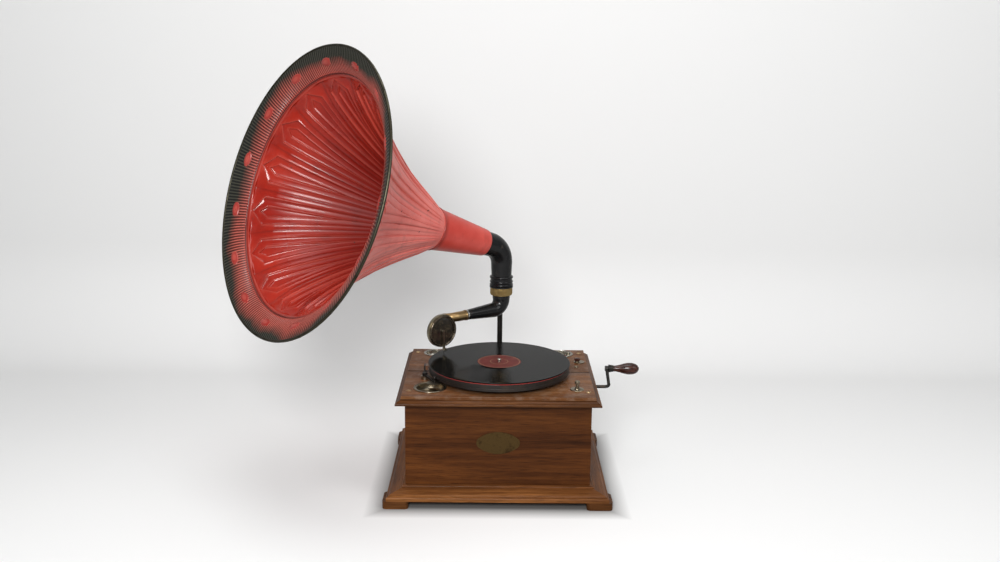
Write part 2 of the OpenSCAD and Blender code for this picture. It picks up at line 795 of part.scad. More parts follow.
// Brake's base, with an arm that holds a round rest over the edge of the front cup
module brake_plate() {
  dx = brake_rest_x - brake_x;
  dy = brake_ball_y - brake_y;
  color([0.80, 0.79, 0.75]) lowered()
    difference() {
      union() {
        translate([brake_x, brake_y, deck_top]) cylinder(r = 7, h = brake_z - deck_top);
        translate([brake_x, brake_y, brake_z - dial_t]) rotate([0, 0, atan2(dy, dx)])
          translate([0, -3, 0]) cube([norm([dx, dy]), 6, dial_t]);
        translate([brake_rest_x - 1, brake_ball_y, brake_z - dial_t]) cylinder(r = brake_r, h = dial_t);
      }
      translate([brake_x, brake_y, deck_top - 1])
        cylinder(r = brake_pin_r + run_gap, h = brake_z - deck_top + 2);
    }
}

module mushroom_knob() {
  h = knob_h;
  rotate_extrude() {
    square([knob_shaft_r, h - 1]);
    difference() {
      union() {
        translate([0, dial_t + 1.5]) square([knob_r * 0.72, 3]);
        translate([0, dial_t + 4]) square([knob_r * 0.55, h - dial_t - 7]);
        translate([0, h - 5.5]) square([knob_r, 3.2]);
        intersection() {
          translate([0, h - 8.2]) circle(8.2);
          translate([0, h - 3]) square([knob_r, 3]);
        }
      }
      translate([knob_r + 0.3, h - 7.2]) circle(2.4);
    }
  }
}

// Low knurled knob with a domed top
module low_knob() {
  r = speed_knob_r;
  h = speed_knob_h;
  ribs = 30;
  cylinder(r = r * 0.7, h = dial_t + 3);
  translate([0, 0, dial_t + 2.2]) linear_extrude(height = h - dial_t - 3.4)
    polygon([for (i = [0:2 * ribs - 1]) (i % 2 == 0 ? r : r - 0.4) * ringdir(i * 180 / ribs)]);
  intersection() {
    translate([0, 0, h - 12]) sphere(r = 12);
    translate([0, 0, h - 2]) cylinder(r = r - 0.5, h = 2.5);
  }
}

module speed_knob() {
  color([0.12, 0.10, 0.09]) lowered()
    translate([speed_x, speed_y, 0]) {
      difference() {
        translate([0, 0, deck_top]) low_knob();
        translate([0, 0, deck_top - 1]) cylinder(r = speed_knob_r, h = 1 + dial_t + 1.3);
      }
      translate([0, 0, deck_z - 7.5]) cylinder(r = knob_shaft_r, h = deck_t + 12);
      translate([0, 0, deck_z - 7.5]) cylinder(r = knob_collar_r, h = 1.2);
    }
}

// Lever under the deck, from the speed knob to the pad on the governor's friction disc
lever_t = 2.5;
lever_w = 8;
pad_x = gov_x + gov_disc_r * 0.6;
pad_y = gov_disc_y + wheel_w + 0.6;
lever_y = pad_y + 2;
module speed_lever() {
  z = deck_z - 6;
  color([0.55, 0.52, 0.45]) lowered()
    difference() {
      union() {
        translate([speed_x, speed_y, z]) cylinder(r = 5, h = 4);
        translate([pad_x - 3, lever_y, z]) cube([speed_x - pad_x + 3, lever_w, lever_t]);
        translate([pad_x - 3, lever_y, gov_z - 2]) cube([6, 2.5, z - gov_z + 3]);
        translate([pad_x, lever_y + 1, gov_z + 3]) rotate([90, 0, 0]) cylinder(r = 3, h = 3);
      }
      translate([speed_x, speed_y, z - 1]) cylinder(r = knob_shaft_r + run_gap, h = 9);
    }
}

module switch_knob() {
  color([0.12, 0.10, 0.09]) lowered()
    translate([switch_x, switch_y, 0]) {
      translate([0, 0, deck_top]) mushroom_knob();
      translate([0, 0, deck_z - 3.3]) cylinder(r = knob_shaft_r, h = deck_t + 4.3);
      translate([0, 0, deck_z - 3.3]) cylinder(r = 6, h = 3);
      translate([-14, -2.5, deck_z - 3.3]) cube([14, 5, 3]);
    }
}

// Brake lever beside the platter: a ball to push it by in front, a leather shoe behind
shoe_y = brake_y + 27;
shoe_w = 14;
shoe_z = platter_z + 1;
shoe_h = platter_h - 4;
module brake_lever() {
  z = brake_z + clear_gap;
  dx = brake_rest_x - brake_x;
  dy = brake_ball_y - brake_y;
  ball_z = deck_top + 14;
  color([0.10, 0.10, 0.10]) lowered() {
    translate([brake_x, brake_y, z]) cylinder(r = 4.6, h = 5);
    translate([brake_x, brake_y, deck_z - 3.3]) cylinder(r = brake_pin_r, h = z - deck_z + 4.3);
    translate([brake_x, brake_y, deck_z - 3.3]) cylinder(r = brake_pin_r + 2, h = 3);
    translate([brake_x, brake_y, z]) rotate([0, 0, atan2(dy, dx)])
      translate([0, -2.2, 0]) cube([norm([dx, dy]), 4.4, 3]);
    translate([brake_rest_x, brake_ball_y, z]) cylinder(r = 2.2, h = ball_z - z);
    translate([brake_x - 3, brake_y, z]) cube([5, 27 + shoe_w / 2, 3.4]);
    translate([brake_x - 3, shoe_y - shoe_w / 2, z]) cube([3, shoe_w, shoe_z + shoe_h - z]);
  }
  color([0.82, 0.80, 0.75]) lowered()
    translate([brake_rest_x, brake_ball_y, ball_z]) sphere(r = brake_ball_r);
}

module brake_shoe() {
  color([0.45, 0.28, 0.16]) lowered()
    difference() {
      translate([brake_x, shoe_y - shoe_w / 2, brake_z + clear_gap + 3.4])
        cube([7, shoe_w, shoe_z + shoe_h - brake_z - clear_gap - 3.4]);
      translate([tt_x, tt_y, deck_top]) cylinder(r = platter_r + brake_gap, h = 60, $fn = 480);
    }
}

// Motor frame
pillar_spots = [[plate_x0 + 8, plate_y0 + 8], [plate_x1 - 8, plate_y0 + 8],
  [plate_x0 + 8, plate_y1 - 8], [plate_x1 - 8, plate_y1 - 8]];
module plate_bores(z) {
  translate([tt_x, tt_y, z - 1]) cylinder(r = spindle_r + run_gap, h = plate_t + 2);
  translate([barrel_x, barrel_y, z - 1]) cylinder(r = winder_r + run_gap, h = plate_t + 2);
  translate([second_x, second_y, z - 1]) cylinder(r = arbor_r + run_gap, h = plate_t + 2);
}

module motor_plate() {
  slot_r = crank_pitch + 4;
  lug_x = barrel_x + crown_pitch + 9;
  color([0.62, 0.60, 0.55]) lowered()
    difference() {
      union() {
        translate([plate_x0, plate_y0, upper_z]) cube([plate_x1 - plate_x0, plate_y1 - plate_y0, plate_t]);
        translate([lug_x, crank_y - 8, crank_z - 7]) cube([5, 16, upper_z - crank_z + 8]);
      }
      plate_bores(upper_z);
      translate([barrel_x + crown_pitch - 8, crank_y - slot_r, upper_z - 1])
        cube([15, 2 * slot_r, plate_t + 2]);
      translate([lug_x - 1, crank_y, crank_z]) rotate([0, 90, 0]) cylinder(r = crank_rod + run_gap, h = 7);
    }
}

module motor_base() {
  color([0.58, 0.56, 0.52]) lowered()
    difference() {
      union() {
        translate([plate_x0, plate_y0, lower_z]) cube([plate_x1 - plate_x0, base_y1 - plate_y0, plate_t]);
        for (y = [gov_front - 4, gov_rear - 1])
          translate([gov_x - 6, y, lower_z + plate_t - eps]) cube([12, 5, gov_z - lower_z - plate_t + 6]);
        translate([tt_x, tt_y, lower_z - 6]) cylinder(r = spindle_r + 4, h = 6 + eps);
      }
      translate([tt_x, tt_y, lower_z - 3.5 - clear_gap])
        cylinder(r = spindle_r + run_gap, h = plate_t + 6);
      plate_bores(lower_z);
      translate([gov_x, gov_front - 6, gov_z]) rotate([-90, 0, 0])
        cylinder(r = 2 + run_gap, h = gov_rear - gov_front + 16);
    }
}

module motor_pillars() {
  color([0.66, 0.62, 0.52]) lowered()
    for (p = pillar_spots)
      translate([p[0], p[1], 0]) {
        translate([0, 0, lower_z + plate_t]) cylinder(r = pillar_r, h = motor_space);
        translate([0, 0, upper_z + plate_t]) cylinder(r = pillar_r, h = motor_drop);
      }
}

// Turntable
module platter() {
  hub_r = spindle_r + 7;
  color([0.50, 0.42, 0.33]) lowered()
    translate([tt_x, tt_y, 0]) rotate_extrude() {
      difference() {
        translate([0, platter_z]) square([platter_r - 1, platter_h]);
        translate([0, platter_z - 1]) square([platter_r - platter_t, platter_h + 1 - platter_t]);
        translate([0, platter_z - 1]) square([spindle_r, platter_h + 2]);
      }
      difference() {
        translate([platter_r - platter_t, platter_z]) square([platter_t, platter_h - 1]);
        translate([platter_r + 0.4, platter_z + platter_h * 0.42]) circle(0.9);
      }
      translate([spindle_r, platter_z + 0.5]) square([hub_r - spindle_r, platter_h - 1]);
      translate([platter_r - 1, platter_z + platter_h - 1]) circle(1);
    }
}

module felt_mat() {
  color([0.62, 0.14, 0.15]) lowered()
    translate([tt_x, tt_y, felt_z]) difference() {
      cylinder(r = platter_r - 0.4, h = felt_t);
      translate([0, 0, -1]) cylinder(r = pin_r, h = felt_t + 2);
    }
}

module record() {
  color([0.07, 0.07, 0.08]) lowered()
    translate([tt_x, tt_y, record_z]) rotate_extrude() difference() {
      union() {
        translate([pin_r, 0]) square([record_r - pin_r - record_t / 2, record_t]);
        translate([record_r - record_t / 2, record_t / 2]) circle(record_t / 2);
      }
      translate([0, record_t - label_sink]) square([label_r, 1]);
    }
}

module record_label() {
  color([0.66, 0.16, 0.14]) lowered()
    translate([tt_x, tt_y, record_top - label_sink]) difference() {
      cylinder(r = label_r, h = label_t);
      translate([0, 0, -1]) cylinder(r = pin_r, h = 3);
    }
}

module spindle() {
  low = lower_z - 3.5;
  color([0.72, 0.72, 0.74]) lowered()
    translate([tt_x, tt_y, 0]) {
      translate([0, 0, low]) cylinder(r = spindle_r, h = felt_z - low);
      translate([0, 0, felt_z - eps]) cylinder(r = pin_r, h = record_top + label_t - felt_z);
      translate([0, 0, record_top + label_t - 2 * eps]) cylinder(r = pin_free_r, h = pin_h - 1.5 - label_t);
      translate([0, 0, record_top + pin_h - 1.5 - 3 * eps])
        cylinder(r1 = pin_free_r, r2 = pin_r * 0.5, h = 1.5);
    }
}

// Driven pinion and governor wheel on the spindle
module spindle_wheel() {
  color([0.74, 0.62, 0.36]) lowered()
    translate([tt_x, tt_y, 0]) difference() {
      union() {
        translate([0, 0, gov_z - 2.5]) linear_extrude(height = 5)
          gear_outline(32, (worm_wheel_r - 0.6) / 16, 0.5, 0.6, 0.45);
        translate([0, 0, gov_z - 5]) cylinder(r = spindle_r + 3, h = 10);
        translate([0, 0, train_z - 1.5]) rotate([0, 0, 180 / pinion_teeth + atan2(second_y - tt_y, second_x - tt_x)])
          linear_extrude(height = wheel_w + 3) gear_outline(pinion_teeth, train_mod, 0.8, 1.05, 0.34);
      }
      translate([0, 0, gov_z - 10]) cylinder(r = spindle_r, h = 100);
    }
}

module second_arbor() {
  to_s = atan2(tt_y - second_y, tt_x - second_x);
  to_b = atan2(barrel_y - second_y, barrel_x - second_x);
  color([0.76, 0.64, 0.38]) lowered()
    translate([second_x, second_y, 0]) {
      translate([0, 0, lower_z - 1.5]) cylinder(r = arbor_r, h = motor_space + 2 * plate_t + 3);
      translate([0, 0, lower_z + plate_t + clear_gap]) cylinder(r = arbor_r + 2, h = 4);
      translate([0, 0, barrel_z - 1]) rotate([0, 0, to_b])
        linear_extrude(height = gear_w + 2) gear_outline(pinion_teeth, barrel_mod, 0.8, 1.05, 0.34);
      translate([0, 0, train_z]) rotate([0, 0, to_s]) linear_extrude(height = wheel_w)
        difference() {
          gear_outline(wheel_teeth, train_mod);
          for (i = [0:4]) rotate([0, 0, 72 * i]) translate([wheel_pitch * 0.55, 0]) circle(wheel_pitch * 0.24);
        }
    }
}

// Spring barrel with its toothed rim; the spring turns it, the arbor winds the spring
module spring_barrel() {
  to_i = atan2(second_y - barrel_y, second_x - barrel_x);
  color([0.70, 0.62, 0.42]) lowered()
    translate([barrel_x, barrel_y, 0]) difference() {
      union() {
        translate([0, 0, barrel_z]) cylinder(r = barrel_r, h = barrel_h);
        translate([0, 0, barrel_z]) rotate([0, 0, to_i + 180 / barrel_teeth])
          linear_extrude(height = gear_w) gear_outline(barrel_teeth, barrel_mod);
      }
      translate([0, 0, barrel_z + 2]) cylinder(r = barrel_r - 2, h = barrel_h - 4);
      translate([0, 0, barrel_z - 1]) cylinder(r = winder_r + run_gap, h = barrel_h + 2);
    }
}

// Mainspring: half turns of growing radius, from the arbor to the barrel's wall
module mainspring() {
  turns = 7;
  t = 0.8;
  r0 = winder_r + 3.2;
  step = (barrel_r - 4.2 - r0) / turns;
  color([0.45, 0.46, 0.50]) lowered()
    translate([barrel_x, barrel_y, barrel_z + 2 + clear_gap]) {
      for (k = [0:2 * turns - 1])
        translate([k % 2 == 0 ? 0 : -step / 4, 0, 0]) rotate([0, 0, k % 2 == 0 ? 0 : 180])
          rotate_extrude(angle = 180) translate([r0 + k * step / 2 + (k % 2 == 0 ? 0 : step / 4), 0])
            square([t, barrel_h - 4 - 2 * clear_gap]);
    }
}

module winding_arbor() {
  color([0.66, 0.64, 0.60]) lowered()
    translate([barrel_x, barrel_y, 0]) {
      translate([0, 0, lower_z - 1.5]) cylinder(r = winder_r, h = motor_space + 2 * plate_t + 3);
      translate([0, 0, lower_z + plate_t + clear_gap]) cylinder(r = winder_r + 3, h = 5 - 2 * clear_gap);
      translate([0, 0, crown_top - 8]) cylinder(r = crown_pitch + 4, h = 3);
      translate([0, 0, crown_top - 8]) cylinder(r = winder_r + 4, h = 6);
      for (i = [0:crown_teeth - 1])
        rotate([0, 0, (i + 0.5) * 360 / crown_teeth]) translate([crown_pitch - 3, -1.05, crown_top - 6])
          cube([6, 2.1, 6]);
    }
}

module crank_pinion() {
  color([0.68, 0.66, 0.62]) lowered()
    translate([barrel_x + crown_pitch - 4, crank_y, crank_z]) rotate([0, 90, 0])
      difference() {
        union() {
          linear_extrude(height = 8) gear_outline(crank_teeth, 2, 0.55, 1.1, 0.34);
          cylinder(r = crank_rod + 3, h = 10);
        }
        translate([0, 0, -1]) cylinder(r = crank_rod, h = 12);
      }
}

module governor_shaft() {
  color([0.70, 0.70, 0.72]) lowered()
    translate([gov_x, 0, gov_z]) rotate([-90, 0, 0]) {
      translate([0, 0, gov_front - 3.5]) cylinder(r = 2, h = gov_rear - gov_front + 7);
      translate([0, 0, tt_y - 9]) cylinder(r = worm_r, h = 18);
      for (y = [gov_ball_y - 14, gov_ball_y + 10]) translate([0, 0, y]) cylinder(r = 4, h = 4);
    }
}

// Three balls on leaf springs between two collars
module governor_balls() {
  leaf = [ball_path - 4.7, -9];
  color([0.78, 0.66, 0.40]) lowered()
    translate([gov_x, gov_ball_y, gov_z])
      for (a = [90, 210, 330]) rotate([0, a, 0]) {
        translate([ball_path, 0, 0]) sphere(r = ball_r);
        for (m = [0, 1]) mirror([0, m, 0])
          translate([4.7, 11.5, -2]) rotate([0, 0, atan2(leaf[1], leaf[0])])
            cube([norm(leaf), 0.6, 4]);
      }
}

module governor_disc() {
  color([0.72, 0.70, 0.66]) lowered()
    translate([gov_x, gov_disc_y, gov_z]) rotate([-90, 0, 0])
      difference() {
        union() {
          cylinder(r = gov_disc_r, h = wheel_w);
          translate([0, 0, -4]) cylinder(r = 4.5, h = 4.5);
        }
        translate([0, 0, -5]) cylinder(r = 2, h = 12);
      }
}

// Crank: one bent rod from the pinion to the handle's pin
module crank() {
  pin_len = grip_len - 6;
  color([0.42, 0.41, 0.40]) lowered()
    translate([0, crank_y, crank_z]) rotate([crank_angle, 0, 0]) {
      translate([crank_inner, 0, 0]) rotate([0, 90, 0])
        cylinder(r = crank_rod, h = crank_x - crank_bend - crank_inner + 0.3);
      translate([crank_x, 0, 0]) {
        translate([-crank_bend, crank_bend, 0]) rotate([0, 0, -90]) rotate_extrude(angle = 90)
          translate([crank_bend, 0]) circle(crank_rod + 0.06, $fn = 48);
        translate([0, crank_bend - 0.3, 0]) rotate([-90, 0, 0])
          cylinder(r = crank_rod, h = crank_arm - crank_bend);
        translate([-crank_rod - 0.4, crank_arm, 0]) rotate([0, 90, 0])
          cylinder(r = crank_rod + 2, h = 2 * crank_rod + 0.4);
        translate([crank_rod - 0.5, crank_arm, 0]) rotate([0, 90, 0])
          cylinder(r = 2, h = pin_len - crank_rod + 1);
        translate([pin_len, crank_arm, 0]) rotate([0, 90, 0]) cylinder(r = 3.2, h = 1.4);
      }
    }
}

// Handle parts, drawn along +Z from the crank arm and laid along +X
module on_handle() {
  translate([0, crank_y, crank_z]) rotate([crank_angle, 0, 0]) translate([crank_x, crank_arm, 0])
    rotate([0, 90, 0]) children();
}

handle_gap = crank_rod + clear_gap;
ferrule_h = 9;
module crank_ferrule() {
  color([0.16, 0.16, 0.15]) lowered()
    on_handle() translate([0, 0, handle_gap]) rotate_extrude() difference() {
      polygon([[0, 0], [ferrule_r - 0.4, 0], [ferrule_r, 0.6], [ferrule_r - 0.5, 3],
        [5.9, ferrule_h], [0, ferrule_h]]);
      translate([0, -1]) square([2 + run_gap, ferrule_h + 2]);
    }
}

module crank_grip() {
  len = grip_len - handle_gap - ferrule_h;
  cap = grip_len - 6 - handle_gap - ferrule_h;
  color([0.26, 0.10, 0.07]) lowered()
    on_handle() translate([0, 0, handle_gap + ferrule_h]) difference() {
      rotate_extrude() difference() {
        polygon(concat([[0, 0]], [for (k = [0:20]) [grip_radius(k / 20), len * k / 20]], [[0, len]]));
      }
      translate([0, 0, -1]) cylinder(r = 2 + run_gap, h = cap + 1 + eps);
      translate([0, 0, cap - clear_gap]) cylinder(r = 3.6, h = 1.4 + 2 * clear_gap);
    }
}

function grip_radius(u) = u < 0.64
  ? 5.4 + (grip_r - 5.4) * pow(sin(90 * u / 0.64), 2)
  : max(0.6, grip_r * sqrt(max(0, 1 - pow((u - 0.64) / 0.37, 2.2))));

// A tapered tube that leaves the pivot upright and bends to a heading
function bend_path(z0, zi, el, rho, len, up, n) =
  let (th = up > 0 ? 90 - el : 90 + el, t = rho * tan(th / 2), la = rho * th * 3.14159 / 180,
    l0 = abs(zi - z0) - t, total = l0 + la + len - t)
  [for (i = [0:n])
    let (d = total * i / n)
    d < l0 ? [0, z0 + up * d, 0, d / total]
    : d < l0 + la ? let (a = (d - l0) / rho * 180 / 3.14159)
      [rho - rho * cos(a), zi - up * t + up * rho * sin(a), a, d / total]
    : let (s = t + d - l0 - la) [s * cos(el), zi + s * sin(el), th, d / total]];

function tube_ring(p, r, up, m) =
  let (e = up > 0 ? 90 - p[2] : p[2] - 90, ex = -sin(e), ez = cos(e))
  [for (j = [0:m - 1]) let (f = 360 * j / m) [p[0] + r * cos(f) * ex, r * sin(f), p[1] + r * cos(f) * ez]];

module bent_tube(z0, zi, el, rho, len, r0, r1, wall, up, n = 14, m = 36) {
  path = bend_path(z0, zi, el, rho, len, up, n);
  rings = concat(
    [for (p = path) tube_ring(p, r0 + (r1 - r0) * p[3], up, m)],
    [for (i = [n:-1:0]) tube_ring(path[i], r0 + (r1 - r0) * path[i][3] - wall, up, m)]);
  count = len(rings);
  points = [for (r = rings, q = r) q];
  faces = [for (i = [0:count - 1], j = [0:m - 1])
    let (a = i * m + j, b = i * m + (j + 1) % m, c = ((i + 1) % count) * m + (j + 1) % m,
      d = ((i + 1) % count) * m + j)
    each [[a, c, d], [a, b, c]]];
  polyhedron(points, faces, convexity = 8);
}

// Tone arm: the neck hangs in the bearing ring, the tube bends and tapers to its collar
arm_top = ring_z + ring_h + clear_gap;
module tonearm() {
  z0 = ring_z - 4;
  color([0.09, 0.09, 0.09]) lowered()
    translate([pivot_x, pivot_y, 0]) {
      difference() {
        union() {
          translate([0, 0, z0 - 3]) cylinder(r = neck_r, h = arm_top - z0 + 3 + flange_t);
          translate([0, 0, arm_top]) cylinder(r = neck_r + flange_w, h = flange_t);
        }
        translate([0, 0, z0 - 5]) cylinder(r = neck_r - arm_wall, h = 60);
      }
      rotate([0, 0, arm_az])
        bent_tube(z0 - 1.5, arm_z, 0, arm_bend, arm_len, neck_r - 0.2, arm_end_r, arm_wall, -1);
    }
}

// Pieces at the arm's outer end, drawn along +X from the pivot at the arm's height
module on_arm() {
  translate([pivot_x, pivot_y, arm_z]) rotate([0, 0, arm_az]) children();
}

module tonearm_collar() {
  color([0.82, 0.76, 0.60]) lowered()
    on_arm() translate([arm_len, 0, 0]) rotate([0, 90, 0]) difference() {
      cylinder(r = arm_end_r + 0.6, h = 3);
      translate([0, 0, -1]) cylinder(r = arm_end_r - arm_wall - 0.4, h = 5);
    }
}

// Brass tube that turns in the collar, bends back and down, and meets the soundbox from behind
goose_x = arm_len + 3 + clear_gap;
goose_out = 28;
goose_in = 12;
goose_turn = 50;
goose_wall = 1.2;
box_back = box_side - box_t + 1.2;
goose_end_r = goose_r * 0.8;
bend_x = needle_len - goose_in * (1 + sin(goose_turn)) - goose_out * sin(goose_turn);
function smooth(u) = u * u * (3 - 2 * u);
goose_path = concat(
  [for (i = [0:4]) let (a = goose_turn * i / 4)
    [bend_x - (i == 0 ? 1 : 0) + goose_out * sin(a), -goose_out * (1 - cos(a)), 0]],
  [for (i = [1:9]) let (a = -goose_turn + (90 + goose_turn) * i / 9)
    [needle_len - goose_in * (1 - sin(a)),
      -goose_out * (1 - cos(goose_turn)) + goose_in * (cos(goose_turn) - cos(a)), -box_drop * smooth(i / 9)]],
  [[needle_len, box_back, -box_drop]]);

function unit(v) = v / norm(v);
function goose_ring(i, off, m) =
  let (n = len(goose_path) - 1, p = goose_path[i],
    t = i == 0 ? [1, 0, 0] : i >= n - 1 ? [0, 1, 0] : unit(goose_path[i + 1] - goose_path[i - 1]),
    u = unit(cross(t, [0, 0, 1])), v = cross(u, t),
    r = goose_r - 0.15 + (goose_end_r - goose_r) * smooth(min(1, i / 4)) - off)
  [for (j = [0:m - 1]) p + r * (cos(360 * j / m) * u + sin(360 * j / m) * v)];

module gooseneck() {
  spigot = 14;
  m = 24;
  n = len(goose_path) - 1;
  rings = concat([for (i = [0:n]) goose_ring(i, 0, m)], [for (i = [n:-1:0]) goose_ring(i, goose_wall, m)]);
  count = len(rings);
  faces = [for (i = [0:count - 1], j = [0:m - 1])
    let (a = i * m + j, b = i * m + (j + 1) % m, c = ((i + 1) % count) * m + (j + 1) % m,
      d = ((i + 1) % count) * m + j)
    each [[a, c, d], [a, b, c]]];
  color([0.70, 0.50, 0.28]) lowered()
    on_arm() {
      translate([goose_x, 0, 0]) rotate([0, 90, 0]) difference() {
        cylinder(r = goose_r, h = bend_x - goose_x + eps);
        translate([0, 0, -1]) cylinder(r = goose_r - goose_wall - 1.2, h = bend_x - goose_x + 2);
      }
      translate([goose_x - spigot, 0, 0]) rotate([0, 90, 0]) difference() {
        cylinder(r = arm_end_r - arm_wall - 0.4 - run_gap, h = spigot + 1);
        translate([0, 0, -1]) cylinder(r = goose_r - goose_wall - 1.6, h = spigot + 3);
      }
      polyhedron([for (r = rings, q = r) q], faces, convexity = 6);
    }
}

// Soundbox pieces, drawn along +Z out of the back plate and turned to face sideways
module on_soundbox() {
  on_arm() translate([needle_len, box_back, -box_drop]) rotate([-90, 0, 0]) children();
}

module soundbox_case() {
  color([0.62, 0.58, 0.50]) lowered()
    on_soundbox() rotate_extrude() difference() {
      union() {
        square([box_r - 2, box_t - 2.2]);
        translate([0, 2]) square([box_r, box_t - 5.2]);
        translate([box_r - 2, 2]) circle(2);
        translate([box_r - 2, box_t - 3.2]) circle(1);
        translate([0, 2]) square([box_r - 1, box_t - 4.2]);
      }
      translate([0, 2.5]) square([box_r - box_ring, box_t]);
      translate([0, -1]) square([goose_end_r - 1.8, 6]);
    }
}

module soundbox_ring() {
  color([0.70, 0.66, 0.56]) lowered()
    on_soundbox() translate([0, 0, box_t - 2.2]) rotate_extrude() difference() {
      union() {
        translate([box_r - box_ring - 1.5, 0]) square([box_ring + 0.5, 1.4]);
        translate([box_r - box_ring / 2 - 1, 1]) circle(1.4);
      }
      translate([0, -2]) square([40, 2]);
    }
}

module diaphragm() {
  color([0.20, 0.18, 0.14]) lowered()
    on_soundbox() {
      translate([0, 0, box_t - 3.4]) cylinder(r = box_r - box_ring - clear_gap, h = 0.6);
      translate([0, 0, box_t - 4]) difference() {
        cylinder(r = box_r - box_ring, h = 0.6);
        translate([0, 0, -1]) cylinder(r = box_r - box_ring - 2, h = 3);
      }
    }
}

// Needle arm: from the middle of the diaphragm down to the needle socket
module needle_arm() {
  drop = box_r + 1;
  color([0.55, 0.52, 0.46]) lowered()
    on_soundbox() {
      translate([0, 0, box_t - 2.8]) cylinder(r = 2, h = 4.6);
      translate([-1.2, 0, box_t + 0.5]) cube([2.4, box_r - 1, 1.3]);
      translate([-2, box_r - 3, box_t + 0.5]) cube([4, 6.2, 1.6]);
      translate([0, drop - 1, box_t + 0.6]) rotate([-90, 0, 0]) cylinder(r = 2.4, h = 5);
      translate([0, drop + 1.5, box_t + 0.6]) cylinder(r = 1.3, h = 6);
      translate([0, drop + 1.5, box_t + 5.5]) cylinder(r = 2.6, h = 2);
    }
}

module needle() {
  tip = arm_z - box_drop - needle_z;
  top = box_r + 5;
  color([0.80, 0.80, 0.82]) lowered()
    on_soundbox() translate([0, 0, box_t + 0.6]) rotate([-90, 0, 0]) {
      translate([0, 0, top]) cylinder(r = needle_r, h = tip - top - 3);
      translate([0, 0, tip - 3 - eps]) cylinder(r1 = needle_r, r2 = 0.15, h = 3);
    }
}

// Horn pieces, drawn with the horn's axis along +Z from the pivot
module on_horn() {
  translate([pivot_x, pivot_y, horn_z]) rotate([0, 0, horn_az]) rotate([0, 90 - horn_el, 0]) children();
}

module horn_elbow() {
  cr = ring_r + 1;
  lip = neck_r + flange_w + lip_t + 0.2 + run_gap;
  color([0.08, 0.08, 0.08]) lowered() {
    translate([pivot_x, pivot_y, collar_z]) rotate_extrude() difference() {
      union() {
        square([cr - 1.4, collar_h - 3]);
        square([cr, 3.4]);
        translate([cr - 2.6, 5]) circle(2.6);
        translate([cr - 2.4, 11]) circle(2.4);
        square([cr - 2.8, collar_h]);
        translate([cr - 2.4, collar_h - 3.6]) circle(2.4);
      }
      translate([0, -1]) square([elbow_r - elbow_wall / 2, collar_h + 2]);
      translate([0, -1]) square([lip, lip_h + clear_gap + 1]);
    }
    translate([pivot_x, pivot_y, 0]) rotate([0, 0, horn_az])
      bent_tube(collar_z + lip_h + 2, horn_z, horn_el, elbow_bend, horn_end_s,
        elbow_r, elbow_end_r, elbow_wall, 1);
  }
}

// Plain conical neck, slipped over the elbow
module horn_neck() {
  r = elbow_end_r + 1.2;
  color([0.72, 0.20, 0.16]) lowered()
    on_horn() rotate_extrude() difference() {
      union() {
        polygon([[0, neck_s], [r - 0.4, neck_s], [r, neck_s + 0.8], [r + 0.5, neck_s + 4],
          [throat_r - 0.2, throat_s], [0, throat_s]]);
        translate([throat_r - 0.5, throat_s - 1.4]) circle(1.4);
      }
      polygon([[0, neck_s - 1], [elbow_end_r + 0.05, neck_s - 1], [elbow_end_r + 0.05, horn_end_s + 0.3],
        [throat_r - 1.4, throat_s + 1], [0, throat_s + 1]]);
    }
}

// Embossed bell: each petal is a sunk panel with a pointed end, inside a sloping border
function bell_r(v) = throat_r + (seam_r - throat_r) * (flare * v + (1 - flare) * pow(v, flare_pow));
outer_top = 0.92;
outer_tip = 0.965;
inner_top = 0.895;
inner_tip = 0.918;
function outer_w(v) = v < outer_top ? 0.228 + 0.111 * v
  : 0.33 * max(0.03, (outer_tip - v) / (outer_tip - outer_top));
function inner_w(v) = v < 0.45 ? 0.014 : v < 0.56 ? 0.014 + 0.236 * (v - 0.45) : v < inner_top
  ? 0.04 + 0.269 * (v - 0.56) : 0.13 * max(0.1, (inner_tip - v) / (inner_tip - inner_top));
function sink(v) = petal_depth * min(1, bell_r(v) / seam_r * 1.1)
  * (v > 0.9 ? max(0, (0.975 - v) / 0.075) : min(1, v / 0.06));
petal_cols = 10;
function petal_u(k, v) = let (o = outer_w(v), i = inner_w(v))
  k == 0 ? 0 : k == 1 ? (0.5 - o) / 2 : k == 2 ? 0.5 - o : k == 3 ? 0.5 - (o + i) / 2
  : k == 4 ? 0.5 - i : k == 5 ? 0.5 : 1 - petal_u(10 - k, v);
function petal_lift(k) = let (c = k > 5 ? 10 - k : k) c < 3 ? 0 : c == 3 ? 0.55 : 1;
bell_rows = [0, 0.09, 0.22, 0.34, 0.45, 0.56, 0.67, 0.77, 0.85, inner_top, inner_tip, 0.94, outer_tip,
  0.982, 1];
function bell_ring(v, off) = [for (p = [0:petals - 1], k = [0:petal_cols - 1])
  let (a = petal_turn + (p + petal_u(k, v) - 0.5) * petal_pitch, r = bell_r(v) + sink(v) * petal_lift(k) - off)
  [r * cos(a), r * sin(a), throat_s + (seam_s - throat_s) * v]];

module horn_bell() {
  n = len(bell_rows);
  m = petals * petal_cols;
  rings = concat([for (v = bell_rows) bell_ring(v, 0)], [for (i = [n - 1:-1:0]) bell_ring(bell_rows[i], sheet_t)]);
  count = 2 * n;
  faces = [for (i = [0:count - 1], j = [0:m - 1])
    let (a = i * m + j, b = i * m + (j + 1) % m, c = ((i + 1) % count) * m + (j + 1) % m,
      d = ((i + 1) % count) * m + j)
    each [[a, d, c], [a, c, b]]];
  color([0.78, 0.24, 0.20]) lowered()
    on_horn() polyhedron([for (r = rings, q = r) q], faces, convexity = 10);
}

